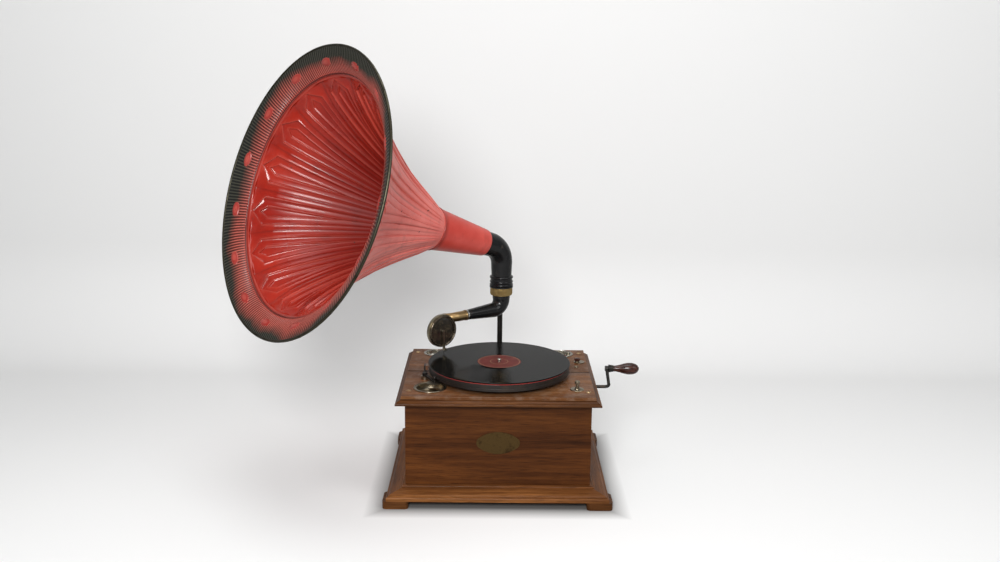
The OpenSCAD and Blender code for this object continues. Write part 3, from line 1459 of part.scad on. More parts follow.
// Outer band, a spun ring that curls outwards to the rolled rim, with an oval boss over each petal
module boss() {
  arc = (boss_len * boss_len + boss_wid * boss_wid) / (4 * boss_wid);
  dome = 60;
  intersection() {
    translate([arc - boss_wid / 2, 0, -band_t / 2]) cylinder(r = arc, h = 4);
    translate([boss_wid / 2 - arc, 0, -band_t / 2]) cylinder(r = arc, h = 4);
    translate([0, 0, 1.7 - dome]) sphere(r = dome, $fn = 200);
  }
}

module horn_band() {
  color([0.36, 0.16, 0.13]) lowered()
    on_horn() {
      rotate_extrude() difference() {
        union() {
          intersection() {
            translate([band_cr, band_cs]) circle(band_round, $fn = 180);
            translate([seam_r, seam_s]) square([band_r - seam_r, band_rise + 20]);
          }
          translate([seam_r - sheet_t, seam_s]) square([sheet_t + 1.6, 1.4]);
        }
        translate([band_cr, band_cs]) circle(band_round - band_t, $fn = 180);
        translate([band_r, band_s]) circle(rim_r);
      }
      for (i = [0:petals - 1])
        rotate([0, 0, petal_turn + i * petal_pitch]) translate([boss_r, 0, boss_s])
          rotate([0, boss_tilt, 0]) boss();
    }
}

module horn_rim() {
  color([0.52, 0.44, 0.26]) lowered()
    on_horn() rotate_extrude() translate([band_r, band_s]) circle(rim_r);
}

feet();
bottom_board();
plinth();
front_panel();
rear_panel();
left_panel();
right_panel();
lid_frame();
deck_front();
deck_rear();
deck_screws();
cup_front();
cup_rear_left();
cup_rear_right();
badge();
bracket();
bracket_screws();
crank_bush();
speed_dial();
switch_plate();
brake_plate();
motor_plate();
motor_base();
motor_pillars();
platter();
felt_mat();
record();
record_label();
spindle();
spindle_wheel();
second_arbor();
spring_barrel();
mainspring();
winding_arbor();
governor_shaft();
governor_balls();
governor_disc();
crank();
crank_pinion();
crank_ferrule();
crank_grip();
speed_knob();
speed_lever();
switch_knob();
brake_lever();
brake_shoe();
bearing_ring();
tonearm();
tonearm_collar();
gooseneck();
soundbox_case();
soundbox_ring();
diaphragm();
needle_arm();
needle();
horn_elbow();
horn_neck();
horn_bell();
horn_band();
horn_rim();
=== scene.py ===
import math

import bmesh
import bpy
from mathutils import Matrix, Vector


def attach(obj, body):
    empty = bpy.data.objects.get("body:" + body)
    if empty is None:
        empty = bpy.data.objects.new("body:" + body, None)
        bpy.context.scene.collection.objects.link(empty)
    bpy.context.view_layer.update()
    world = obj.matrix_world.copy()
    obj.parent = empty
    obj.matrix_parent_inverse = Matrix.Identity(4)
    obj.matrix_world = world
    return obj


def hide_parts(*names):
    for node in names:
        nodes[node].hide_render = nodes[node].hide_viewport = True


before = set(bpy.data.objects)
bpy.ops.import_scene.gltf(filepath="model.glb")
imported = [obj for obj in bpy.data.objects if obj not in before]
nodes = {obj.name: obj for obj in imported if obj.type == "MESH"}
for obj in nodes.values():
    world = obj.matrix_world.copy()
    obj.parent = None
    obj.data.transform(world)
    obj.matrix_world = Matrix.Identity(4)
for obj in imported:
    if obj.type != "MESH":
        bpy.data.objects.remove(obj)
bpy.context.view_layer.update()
mm = 0.001
footHeight = 13  # the frame's zero is the underside of the bottom board
pivotHeight = 389.5  # of the horn's axis above the floor, at the bend of its elbow
print("frame loaded:", len(nodes), "nodes")


# the photograph's own view: lens and place in mm, angles in radians
view = {"lens": 38.4804, "at": (-7.93, -1828.2, 755.7), "pitch": 0.222, "yaw": 0.0049, "roll": -0.0104}


def makeCamera():
    data = bpy.data.cameras.new("photoCamera")
    data.lens = view["lens"]
    data.sensor_width = 36
    data.sensor_fit = "HORIZONTAL"
    data.clip_start = 0.05
    data.clip_end = 30
    cam = bpy.data.objects.new("photoCamera", data)
    bpy.context.scene.collection.objects.link(cam)
    turn = Matrix.Rotation(-view["yaw"], 3, "Z")
    ahead = turn @ Vector((0, math.cos(view["pitch"]), -math.sin(view["pitch"])))
    side = turn @ Vector((1, 0, 0))
    over = turn @ Vector((0, math.sin(view["pitch"]), math.cos(view["pitch"])))
    cosRoll, sinRoll = math.cos(view["roll"]), math.sin(view["roll"])
    right = side * cosRoll - over * sinRoll
    up = side * sinRoll + over * cosRoll
    place = Matrix((right, up, -ahead)).transposed().to_4x4()
    place.translation = Vector(view["at"]) * mm
    cam.matrix_world = place
    bpy.context.scene.camera = cam


makeCamera()
print("camera placed")


# small helpers for nodes
def newShader(name):
    mat = bpy.data.materials.new(name)
    mat.use_nodes = True
    tree = mat.node_tree
    tree.nodes.clear()
    out = tree.nodes.new("ShaderNodeOutputMaterial")
    bsdf = tree.nodes.new("ShaderNodeBsdfPrincipled")
    tree.links.new(bsdf.outputs[0], out.inputs[0])
    return mat, tree, bsdf


def feed(tree, socket, value):
    if isinstance(value, bpy.types.NodeSocket):
        tree.links.new(value, socket)
    elif value is not None:
        socket.default_value = value


def mapped(tree, scale=(1, 1, 1), move=(0, 0, 0)):
    coord = tree.nodes.new("ShaderNodeTexCoord")
    place = tree.nodes.new("ShaderNodeMapping")
    place.inputs["Location"].default_value = move
    place.inputs["Scale"].default_value = scale
    tree.links.new(coord.outputs["Object"], place.inputs["Vector"])
    return place.outputs[0]


def position(tree):
    # x, y and z of a spot of the piece, in metres
    coord = tree.nodes.new("ShaderNodeTexCoord")
    parts = tree.nodes.new("ShaderNodeSeparateXYZ")
    tree.links.new(coord.outputs["Object"], parts.inputs[0])
    return parts.outputs


def noise(tree, vector, scale, detail, rough, twist=0.0):
    n = tree.nodes.new("ShaderNodeTexNoise")
    feed(tree, n.inputs["Vector"], vector)
    n.inputs["Scale"].default_value = scale
    n.inputs["Detail"].default_value = detail
    n.inputs["Roughness"].default_value = rough
    n.inputs["Distortion"].default_value = twist
    return n.outputs[0]


def ramp(tree, value, *stops):
    r = tree.nodes.new("ShaderNodeValToRGB")
    feed(tree, r.inputs[0], value)
    band = r.color_ramp
    while len(band.elements) < len(stops):
        band.elements.new(0.5)
    for el, (at, tone) in zip(band.elements, stops):
        el.position = at
        el.color = (tone, tone, tone, 1) if isinstance(tone, (int, float)) else (*tone, 1)
    return r.outputs[0]


def mixed(tree, factor, a, b):
    m = tree.nodes.new("ShaderNodeMix")
    m.data_type = "RGBA"
    feed(tree, m.inputs[0], factor)
    for socket, value in ((m.inputs[6], a), (m.inputs[7], b)):
        feed(tree, socket, (*value, 1) if isinstance(value, tuple) else value)
    return m.outputs[2]


def maths(tree, how, a, b=None):
    m = tree.nodes.new("ShaderNodeMath")
    m.operation = how
    feed(tree, m.inputs[0], a)
    feed(tree, m.inputs[1], b)
    return m.outputs[0]


def times(tree, a, b):
    return maths(tree, "MULTIPLY", a, b)


def plus(tree, a, b):
    return maths(tree, "ADD", a, b)


def minus(tree, a, b):
    return maths(tree, "SUBTRACT", a, b)


def mapRange(tree, value, low, high, toLow=0.0, toHigh=1.0):
    m = tree.nodes.new("ShaderNodeMapRange")
    for i, v in enumerate((value, low, high, toLow, toHigh)):
        feed(tree, m.inputs[i], v)
    return m.outputs[0]


def bump(tree, bsdf, height, strength, distance):
    b = tree.nodes.new("ShaderNodeBump")
    b.inputs["Strength"].default_value = strength
    b.inputs["Distance"].default_value = distance
    feed(tree, b.inputs["Height"], height)
    feed(tree, bsdf.inputs["Normal"], b.outputs[0])


def attribute(tree, name):
    a = tree.nodes.new("ShaderNodeAttribute")
    a.attribute_name = name
    return a.outputs["Fac"]


def wear(tree, scale, low, high):
    # 1 in scattered worn places, 0 elsewhere
    return mapRange(tree, noise(tree, mapped(tree), scale, 6, 0.62), low, high)


def polish(bsdf, specular, coat, coatRough):
    bsdf.inputs["Specular IOR Level"].default_value = specular
    bsdf.inputs["Coat Weight"].default_value = coat
    bsdf.inputs["Coat Roughness"].default_value = coatRough


# stained oak: deep, middle and pale tone of each part
oakTones = {
    "front": ((0.016, 0.0045, 0.0012), (0.078, 0.0235, 0.0052), (0.165, 0.054, 0.012)),
    "case": ((0.018, 0.0052, 0.0015), (0.080, 0.025, 0.0060), (0.155, 0.053, 0.013)),
    "lid": ((0.019, 0.0062, 0.0019), (0.092, 0.033, 0.0092), (0.21, 0.084, 0.025)),
    "trim": ((0.034, 0.011, 0.0034), (0.165, 0.059, 0.0165), (0.36, 0.146, 0.043)),
    "deck": ((0.034, 0.0115, 0.0036), (0.145, 0.055, 0.0175), (0.28, 0.125, 0.046)),
    "board": ((0.10, 0.05, 0.022), (0.23, 0.125, 0.06), (0.36, 0.21, 0.11)),
}
oakLook = {
    "figure": (1.6, 26), "streak": (7, 150), "pores": (34, 900),  # waves to a metre, along and across
    # the dark tone for the joint of the deck's two boards is painted shade in the groove
    "dust": (0.26, 0.19, 0.145), "grooveShade": (0.006, 0.004, 0.003), "joint": (0.0010, 0.0030),
}


def oak(name, tone, along, seed, gloss=0.36, frameSize=None):
    mat, tree, bsdf = newShader(name)
    deep, mid, pale = oakTones[tone]

    def grain(part):
        long, across = oakLook[part]
        lengthwise, crosswise = (long, across, across), (across, long, across)
        shift = (seed, seed * 1.7, seed * 0.6)
        if along != "frame":
            return mapped(tree, lengthwise if along == "X" else crosswise, shift)
        # a mitred frame: the grain runs along each of its four sides
        x, y = position(tree)[:2]
        dx = minus(tree, maths(tree, "ABSOLUTE", x), frameSize[0])
        dy = minus(tree, maths(tree, "ABSOLUTE", y), frameSize[1])
        m = tree.nodes.new("ShaderNodeMix")
        m.data_type = "VECTOR"
        feed(tree, m.inputs[0], maths(tree, "GREATER_THAN", dx, dy))
        feed(tree, m.inputs[4], mapped(tree, lengthwise, shift))
        feed(tree, m.inputs[5], mapped(tree, crosswise, (seed + 3, seed, seed * 0.4)))
        return m.outputs[1]

    figure = noise(tree, grain("figure"), 1.0, 4, 0.55, 0.6)
    streak = noise(tree, grain("streak"), 1.0, 5, 0.6, 0.2)
    pores = noise(tree, grain("pores"), 1.0, 2, 0.5)
    cloud = noise(tree, mapped(tree, (4, 4, 4), (seed, 0, seed)), 1.0, 3, 0.5)
    tint = mixed(tree, 0.45, figure, streak)
    colour = ramp(tree, tint, (0.30, deep), (0.50, mid), (0.72, pale))
    colour = mixed(tree, mapRange(tree, pores, 0.52, 0.66, 0.0, 0.55), colour, deep)
    colour = mixed(tree, mapRange(tree, cloud, 0.35, 0.7, 0.0, 0.35), colour, deep)
    if tone == "deck":
        # the varnish is dull and dusty in places, and the groove at the joint of the two boards is painted
        # dark: painted shade
        dust = noise(tree, mapped(tree, move=(seed, 0, 0)), 70, 5, 0.7)
        colour = mixed(tree, mapRange(tree, dust, 0.46, 0.68, 0.0, 0.42), colour, oakLook["dust"])
        off = maths(tree, "ABSOLUTE", position(tree)[1])
        colour = mixed(tree, mapRange(tree, off, *oakLook["joint"], 0.95, 0.0), colour, oakLook["grooveShade"])
    feed(tree, bsdf.inputs["Base Color"], colour)
    shine = plus(tree, times(tree, streak, 0.22), gloss - 0.10)
    shine = plus(tree, shine, mapRange(tree, cloud, 0.4, 0.7, 0.0, 0.10))
    feed(tree, bsdf.inputs["Roughness"], shine)
    rise = minus(tree, times(tree, streak, 0.5), mapRange(tree, pores, 0.5, 0.64))
    bump(tree, bsdf, rise, 0.22, 0.0004)
    polish(bsdf, 0.09, 0.04, 0.16)
    return mat


# metals with age: tone where clean, worn where spotted
def metal(name, tone, worn, rough, amount, metallic=1.0):
    mat, tree, bsdf = newShader(name)
    spots = wear(tree, 55, 0.50, 0.72)
    grit = noise(tree, mapped(tree), 420, 2, 0.5)
    colour = mixed(tree, times(tree, spots, amount), tone, worn)
    colour = mixed(tree, mapRange(tree, grit, 0.55, 0.75, 0.0, 0.25 * amount), colour, worn)
    feed(tree, bsdf.inputs["Base Color"], colour)
    bsdf.inputs["Metallic"].default_value = metallic
    shine = plus(tree, times(tree, spots, 0.25 * amount), rough)
    feed(tree, bsdf.inputs["Roughness"], plus(tree, shine, times(tree, grit, 0.06)))
    bump(tree, bsdf, grit, 0.05, 0.0002)
    return mat


enamel = {"tone": (0.0065, 0.0065, 0.007), "chip": (0.075, 0.060, 0.045), "chipped": 0.35,
          "rough": (0.14, 0.30)}


def blackEnamel(name):
    mat, tree, bsdf = newShader(name)
    spots = wear(tree, 90, 0.60, 0.74)
    smear = noise(tree, mapped(tree), 30, 4, 0.5)
    colour = mixed(tree, times(tree, spots, enamel["chipped"]), enamel["tone"], enamel["chip"])
    feed(tree, bsdf.inputs["Base Color"], colour)
    feed(tree, bsdf.inputs["Roughness"], mapRange(tree, smear, 0.35, 0.7, *enamel["rough"]))
    bump(tree, bsdf, smear, 0.06, 0.0008)
    polish(bsdf, 0.26, 0.08, 0.08)
    return mat


# red paint of the horn: base, pale and dark tone of each part. The one paint carries painted light in its
# tones: the inside is darker, painted shade inside the horn; the outside is paler and pinker, in part a
# painted reflection of the pale surroundings; the neck is darker than the outside, painted shade
paint = {
    "inside": ((0.29, 0.0095, 0.0030), (0.42, 0.024, 0.0100), (0.060, 0.0026, 0.0014)),
    "outside": ((0.72, 0.125, 0.100), (0.86, 0.225, 0.190), (0.13, 0.020, 0.016)),
    "neck": ((0.44, 0.042, 0.030), (0.60, 0.085, 0.066), (0.10, 0.011, 0.008)),
    "medal": ((0.30, 0.024, 0.018), (0.42, 0.060, 0.048), (0.07, 0.006, 0.004)),
}
# the throat tone is painted shade deep in the horn; the ridge tone lightens the raised lines, partly worn
# paint and partly painted highlight; the chip tone shows where paint is gone
paintMarks = {"throat": (0.135, 0.0036, 0.0014), "ridge": (0.66, 0.15, 0.11),
              "chip": (0.035, 0.018, 0.014)}


def redPaint(name, side, rough, coat):
    # crease is 1 in the grooves and ridge is 1 on the raised lines
    mat, tree, bsdf = newShader(name)
    base, pale, dark = paint[side]
    cloud = noise(tree, mapped(tree), 9, 5, 0.6)
    chips = wear(tree, 85, 0.69, 0.73)
    scuff = wear(tree, 30, 0.56, 0.70)
    colour = mixed(tree, mapRange(tree, cloud, 0.35, 0.65), base, pale)
    shine = mapRange(tree, cloud, 0.3, 0.7, rough, rough + 0.12)
    if side == "inside":
        # painted shade: darker towards the throat, deep inside the horn, and the paint is rougher there
        along = attribute(tree, "along")
        colour = mixed(tree, mapRange(tree, along, 0.90, 0.40, 0.0, 0.70), colour, paintMarks["throat"])
        shine = plus(tree, shine, mapRange(tree, along, 0.88, 0.45, 0.0, 0.26))
    # darker along the creases: painted shade in the grooves, with dirt in the seams
    colour = mixed(tree, times(tree, attribute(tree, "crease"), 0.55), colour, dark)
    # lighter on the raised lines: painted highlight, partly worn paint
    colour = mixed(tree, times(tree, attribute(tree, "ridge"), 0.42), colour, paintMarks["ridge"])
    colour = mixed(tree, times(tree, scuff, 0.30), colour, dark)
    colour = mixed(tree, chips, colour, paintMarks["chip"])
    feed(tree, bsdf.inputs["Base Color"], colour)
    feed(tree, bsdf.inputs["Roughness"], plus(tree, shine, times(tree, chips, 0.3)))
    bump(tree, bsdf, noise(tree, mapped(tree), 26, 3, 0.5), 0.10, 0.0015)
    polish(bsdf, 0.34, coat, 0.07)
    return mat


# ridge tones lighten the rib tops, partly worn paint and partly painted highlight; groove tones darken
# between the ribs: painted shade
bandTones = {
    "red": ((0.36, 0.030, 0.018), (0.54, 0.062, 0.038)), "black": (0.016, 0.016, 0.010),
    "ridge": ((0.66, 0.20, 0.15), (0.085, 0.082, 0.058)),
    "groove": ((0.030, 0.006, 0.005), (0.004, 0.004, 0.003)),
}


def bandPaint(name):
    # red at the seam and black at the rim: fade runs from 0 to 1 between them
    mat, tree, bsdf = newShader(name)
    cloud = noise(tree, mapped(tree), 14, 5, 0.6)
    patchy = noise(tree, mapped(tree, move=(3, 1, 2)), 7, 3, 0.5)
    soft = plus(tree, attribute(tree, "fade"), times(tree, minus(tree, cloud, 0.5), 0.60))
    soft = plus(tree, soft, times(tree, minus(tree, patchy, 0.5), 1.15))
    # the second attribute here is painted shade: it pushes the band's upper side, which faces down, towards
    # black
    dark = mapRange(tree, plus(tree, soft, attribute(tree, "paintedShade")), 0.44, 0.80)
    red = mixed(tree, mapRange(tree, cloud, 0.35, 0.65), *bandTones["red"])
    colour = mixed(tree, dark, red, bandTones["black"])
    # painted highlight on the rib tops and painted shade in the grooves between them
    top = mixed(tree, dark, *bandTones["ridge"])
    colour = mixed(tree, times(tree, attribute(tree, "ridge"), 0.75), colour, top)
    low = mixed(tree, dark, *bandTones["groove"])
    colour = mixed(tree, times(tree, attribute(tree, "crease"), 0.92), colour, low)
    feed(tree, bsdf.inputs["Base Color"], colour)
    feed(tree, bsdf.inputs["Roughness"], mapRange(tree, cloud, 0.3, 0.7, 0.26, 0.42))
    polish(bsdf, 0.4, 0.15, 0.15)
    return mat


# the record and its label, lengths in metres
recordLook = {
    "centre": (0.001, -0.016), "groove": 0.0007, "bands": 420,
    "cut": ((0.0455, 0.0465), (0.1195, 0.1185)),  # where the grooves begin and end
    "tones": ((0.0025, 0.0025, 0.0023), (0.006, 0.006, 0.0057)),
}
labelLook = {
    "paper": ((0.085, 0.0115, 0.0088), (0.13, 0.021, 0.016)), "fibre": (0.10, 0.012, 0.010),
    "rings": ((0.0362, 0.00035), (0.0155, 0.0004)), "ink": (0.45, 0.30, 0.16),
}


def ringDistance(tree):
    spot = position(tree)
    x = minus(tree, spot[0], recordLook["centre"][0])
    y = minus(tree, spot[1], recordLook["centre"][1])
    return maths(tree, "SQRT", plus(tree, times(tree, x, x), times(tree, y, y)))


def shellac(name):
    mat, tree, bsdf = newShader(name)
    away = ringDistance(tree)
    groove = maths(tree, "SINE", times(tree, away, 2 * math.pi / recordLook["groove"]))
    bands = tree.nodes.new("ShaderNodeTexNoise")
    bands.noise_dimensions = "1D"
    feed(tree, bands.inputs["W"], times(tree, away, recordLook["bands"]))
    bands.inputs["Scale"].default_value = 1
    bands.inputs["Detail"].default_value = 4
    start, stop = recordLook["cut"]
    cut = times(tree, mapRange(tree, away, *start), mapRange(tree, away, *stop))
    scratch = noise(tree, mapped(tree), 240, 3, 0.7)
    tone = mixed(tree, mapRange(tree, bands.outputs[0], 0.35, 0.65), *recordLook["tones"])
    feed(tree, bsdf.inputs["Base Color"], tone)
    shine = mapRange(tree, bands.outputs[0], 0.3, 0.7, 0.075, 0.12)
    shine = plus(tree, shine, mapRange(tree, scratch, 0.5, 0.8, 0.0, 0.10))
    feed(tree, bsdf.inputs["Roughness"], shine)
    bump(tree, bsdf, times(tree, groove, cut), 0.10, 0.00010)
    bsdf.inputs["Specular IOR Level"].default_value = 0.075
    return mat


def labelPaper(name):
    # paper with two plain printed rings
    mat, tree, bsdf = newShader(name)
    away = ringDistance(tree)
    fibre = noise(tree, mapped(tree), 800, 3, 0.6)
    stain = noise(tree, mapped(tree), 60, 4, 0.6)
    paper = mixed(tree, mapRange(tree, stain, 0.35, 0.65), *labelLook["paper"])
    marks = []
    for radius, width in labelLook["rings"]:
        ring = maths(tree, "COMPARE", away, radius)
        ring.node.inputs[2].default_value = width
        marks.append(ring)
    paper = mixed(tree, times(tree, maths(tree, "MAXIMUM", *marks), 0.6), paper, labelLook["ink"])
    paper = mixed(tree, mapRange(tree, fibre, 0.55, 0.8, 0.0, 0.3), paper, labelLook["fibre"])
    feed(tree, bsdf.inputs["Base Color"], paper)
    bsdf.inputs["Roughness"].default_value = 0.5
    bsdf.inputs["Specular IOR Level"].default_value = 0.2
    bump(tree, bsdf, fibre, 0.12, 0.0002)
    return mat


def feltCloth(name, tone, dark):
    mat, tree, bsdf = newShader(name)
    fibre = noise(tree, mapped(tree), 900, 4, 0.7)
    lint = noise(tree, mapped(tree), 120, 4, 0.6)
    colour = mixed(tree, mapRange(tree, fibre, 0.35, 0.7), dark, tone)
    colour = mixed(tree, mapRange(tree, lint, 0.5, 0.8, 0.0, 0.4), colour, dark)
    feed(tree, bsdf.inputs["Base Color"], colour)
    bsdf.inputs["Roughness"].default_value = 0.9
    bsdf.inputs["Sheen Weight"].default_value = 0.3
    bump(tree, bsdf, fibre, 0.5, 0.0006)
    return mat


# stops of the mica's and the turned wood's colours
micaTones = ((0.35, (0.007, 0.0055, 0.004)), (0.55, (0.022, 0.0165, 0.010)),
             (0.75, (0.060, 0.046, 0.028)))
gripTones = ((0.32, (0.010, 0.0030, 0.002)), (0.52, (0.040, 0.0105, 0.006)),
             (0.70, (0.095, 0.028, 0.015)))


def micaDisc(name):
    mat, tree, bsdf = newShader(name)
    cloud = noise(tree, mapped(tree), 120, 5, 0.6, 0.8)
    feed(tree, bsdf.inputs["Base Color"], ramp(tree, cloud, *micaTones))
    bsdf.inputs["Roughness"].default_value = 0.22
    bump(tree, bsdf, cloud, 0.15, 0.0004)
    polish(bsdf, 0.5, 0.6, 0.06)
    return mat


def gripWood(name):
    mat, tree, bsdf = newShader(name)
    streak = noise(tree, mapped(tree, (30, 420, 420), (0.3, 0, 0)), 1.0, 4, 0.6)
    feed(tree, bsdf.inputs["Base Color"], ramp(tree, streak, *gripTones))
    feed(tree, bsdf.inputs["Roughness"], mapRange(tree, streak, 0.3, 0.7, 0.22, 0.36))
    bump(tree, bsdf, streak, 0.15, 0.0003)
    polish(bsdf, 0.3, 0.15, 0.12)
    return mat


nickel = metal("nickelPlate", (0.46, 0.44, 0.39), (0.16, 0.13, 0.095), 0.22, 0.7)
nickelBright = metal("nickelBright", (0.70, 0.68, 0.63), (0.34, 0.29, 0.22), 0.20, 0.4)
nickelOld = metal("agedNickel", (0.30, 0.26, 0.19), (0.085, 0.062, 0.038), 0.26, 0.8)
nickelDark = metal("darkNickel", (0.15, 0.125, 0.092), (0.040, 0.030, 0.020), 0.24, 0.9)
screwBrass = metal("screwBrass", (0.42, 0.30, 0.17), (0.13, 0.085, 0.045), 0.34, 0.6)
steel = metal("oiledSteel", (0.36, 0.35, 0.34), (0.13, 0.10, 0.075), 0.30, 0.5)
springSteel = metal("springSteel", (0.16, 0.17, 0.20), (0.08, 0.055, 0.04), 0.28, 0.5)
brass = metal("brass", (0.36, 0.25, 0.10), (0.12, 0.075, 0.032), 0.26, 0.7)
darkBrass = metal("darkBrass", (0.060, 0.055, 0.038), (0.018, 0.016, 0.011), 0.36, 0.9)
plateBrass = metal("wornBadgeBrass", (0.095, 0.058, 0.022), (0.024, 0.013, 0.007), 0.42, 1.0)
tubeBrass = metal("tubeBrass", (0.40, 0.27, 0.125), (0.12, 0.080, 0.040), 0.32, 0.8)
darkIron = metal("darkIron", (0.036, 0.034, 0.032), (0.075, 0.052, 0.036), 0.36, 0.7)
platterPaint = metal("platterPaint", (0.014, 0.010, 0.008), (0.040, 0.024, 0.014), 0.42, 0.6, 0.30)
black = blackEnamel("blackEnamel")
knobWood = gripWood("knobWood")
handleWood = gripWood("handleWood")
redInside = redPaint("hornRedInside", "inside", 0.17, 0.10)
redOutside = redPaint("hornRedOutside", "outside", 0.32, 0.08)
redNeck = redPaint("hornRedNeck", "neck", 0.30, 0.08)
redMedal = redPaint("medallionRed", "medal", 0.24, 0.06)
redBand = bandPaint("hornBandPaint")
grooves = shellac("shellac")
label = labelPaper("recordLabel")
redFelt = feltCloth("redFelt", (0.52, 0.042, 0.032), (0.20, 0.016, 0.013))
leather = feltCloth("brakeLeather", (0.20, 0.085, 0.036), (0.075, 0.028, 0.012))
mica = micaDisc("mica")
print("materials made")


# a material for every CAD node
caseHalf = (156.35 * mm, 134.4 * mm)
dress = {
    "feet": oak("oakFeet", "lid", "X", 2.0),
    "bottom_board": oak("pineBoard", "board", "X", 5.0, 0.6),
    "plinth": oak("oakPlinth", "trim", "frame", 1.0, 0.32, caseHalf),
    "front_panel": oak("oakFront", "front", "X", 7.0, 0.34),
    "rear_panel": oak("oakRear", "case", "X", 9.0),
    "left_panel": oak("oakLeft", "case", "Y", 11.0),
    "right_panel": oak("oakRight", "case", "Y", 13.0),
    "lid_frame": oak("oakLid", "lid", "frame", 4.0, 0.32, caseHalf),
    "deck_front": oak("oakDeckFront", "deck", "X", 15.0, 0.34),
    "deck_rear": oak("oakDeckRear", "deck", "X", 18.0, 0.34),
    "deck_screws": screwBrass, "cup_front": nickelOld, "cup_rear_left": nickel,
    "cup_rear_right": nickel, "badge": plateBrass, "bracket": darkIron, "bracket_screws": steel,
    "crank_bush": nickelOld, "speed_dial": nickelOld, "switch_plate": nickelOld,
    "brake_plate": nickelOld,
    "motor_plate": steel, "motor_base": steel, "motor_pillars": steel, "bearing_ring": brass,
    "platter": platterPaint, "felt_mat": redFelt, "record": grooves, "record_label": label,
    "spindle": nickel, "spindle_wheel": brass, "second_arbor": brass, "spring_barrel": brass,
    "mainspring": springSteel, "winding_arbor": steel, "governor_shaft": steel,
    "governor_balls": brass, "governor_disc": brass, "crank": darkIron, "crank_pinion": steel,
    "crank_ferrule": darkIron, "crank_grip": handleWood, "speed_knob": knobWood,
    "speed_lever": steel, "switch_knob": nickelOld, "brake_lever": darkIron, "brake_shoe": leather,
    "tonearm": black, "tonearm_collar": nickelBright, "gooseneck": tubeBrass,
    "soundbox_case": nickelOld, "soundbox_ring": nickelDark, "diaphragm": mica,
    "needle_arm": nickelOld, "needle": nickel, "horn_elbow": black, "horn_neck": redNeck,
    "horn_bell": redOutside, "horn_band": redBand, "horn_rim": darkBrass,
}
for name, mat in dress.items():
    piece = nodes[name]
    if not piece.material_slots:
        piece.data.materials.append(mat)
    for slot in piece.material_slots:
        slot.material = mat
print("CAD nodes dressed")


# mesh helpers, all in millimetres until a piece is finished
def finishPiece(name, bm, place, materials, sharp):
    bmesh.ops.transform(bm, matrix=Matrix.Scale(mm, 4) @ place, verts=bm.verts)
    limit = math.radians(sharp)
    for f in bm.faces:
        f.smooth = True
    for e in bm.edges:
        if len(e.link_faces) == 2 and e.calc_face_angle(0) > limit:
            e.smooth = False
    mesh = bpy.data.meshes.new(name)
    bm.to_mesh(mesh)
    bm.free()
    piece = bpy.data.objects.new(name, mesh)
    bpy.context.scene.collection.objects.link(piece)
    for mat in materials:
        mesh.materials.append(mat)
    return piece


def spunShape(bm, profile, steps, closed=False):
    # profile in (radius, height), spun about Z
    verts = [bm.verts.new((r, 0, z)) for r, z in profile]
    edges = [bm.edges.new(pair) for pair in zip(verts, verts[1:])]
    if closed:
        edges.append(bm.edges.new((verts[-1], verts[0])))
    bmesh.ops.spin(bm, geom=verts + edges, cent=(0, 0, 0), axis=(0, 0, 1), angle=2 * math.pi,
                   steps=steps, use_merge=True)
    bmesh.ops.remove_doubles(bm, verts=bm.verts, dist=0.0005)
    bmesh.ops.recalc_face_normals(bm, faces=bm.faces)


def spunRing(bm, profile, steps, place=Matrix.Identity(4)):
    # a closed profile spun on its own, then put into a mesh that already holds other shapes
    part = bmesh.new()
    spunShape(part, profile, steps, closed=True)
    bmesh.ops.transform(part, matrix=place, verts=part.verts)
    mesh = bpy.data.meshes.new("part")
    part.to_mesh(mesh)
    part.free()
    bm.from_mesh(mesh)
    bpy.data.meshes.remove(mesh)


def sweptTube(bm, rings, sides):
    # rings are matrices; a unit circle is carried from one to the next
    start = bmesh.ops.create_circle(bm, cap_ends=False, radius=1, segments=sides, matrix=rings[0])
    verts = start["verts"]
    edges = list({e for v in verts for e in v.link_edges})
    for before, after in zip(rings, rings[1:]):
        out = bmesh.ops.extrude_edge_only(bm, edges=edges)
        verts = [g for g in out["geom"] if isinstance(g, bmesh.types.BMVert)]
        bmesh.ops.transform(bm, matrix=after @ before.inverted(), verts=verts)
        edges = [g for g in out["geom"] if isinstance(g, bmesh.types.BMEdge)
                 and all(v in verts for v in g.verts)]


def ringAt(point, across, side, heading, radius):
    m = Matrix((across * radius, side * radius, heading * radius)).transposed().to_4x4()
    m.translation = Vector(point)
    return m


def turnMesh(bm, azimuth):
    spin = Matrix.Rotation(math.radians(azimuth), 3, "Z")
    bmesh.ops.rotate(bm, verts=bm.verts, cent=(0, 0, 0), matrix=spin)


def clamped(x):
    return max(0, min(1, x))


def ease(x):
    return x * x * (3 - 2 * x)


def step(x):
    # 0 well below zero, 1 well above it
    return ease(clamped(0.5 + 0.5 * x))


# the horn, drawn about its own axis; places are radius and distance from the pivot
horn = {
    "pivot": (4.3, 136, pivotHeight - footHeight), "azimuth": 219, "rise": 18.3,
    "throat": (38.5, 170), "seam": (201.3, 419.6), "rim": (241.6, 442.6), "flare": 0.74, "flarePower": 3.43,
    "petals": 15, "turn": -3.4, "depth": 7.0, "lift": 0.14, "bead": 1.3, "wall": 1.3,
    "seamBead": (0.9925, 0.0045, 1.1), "seamGroove": (0.9985, 0.003),
}
hornPlace = (Matrix.Translation(horn["pivot"]) @ Matrix.Rotation(math.radians(horn["azimuth"]), 4, "Z")
             @ Matrix.Rotation(math.radians(90 - horn["rise"]), 4, "Y"))

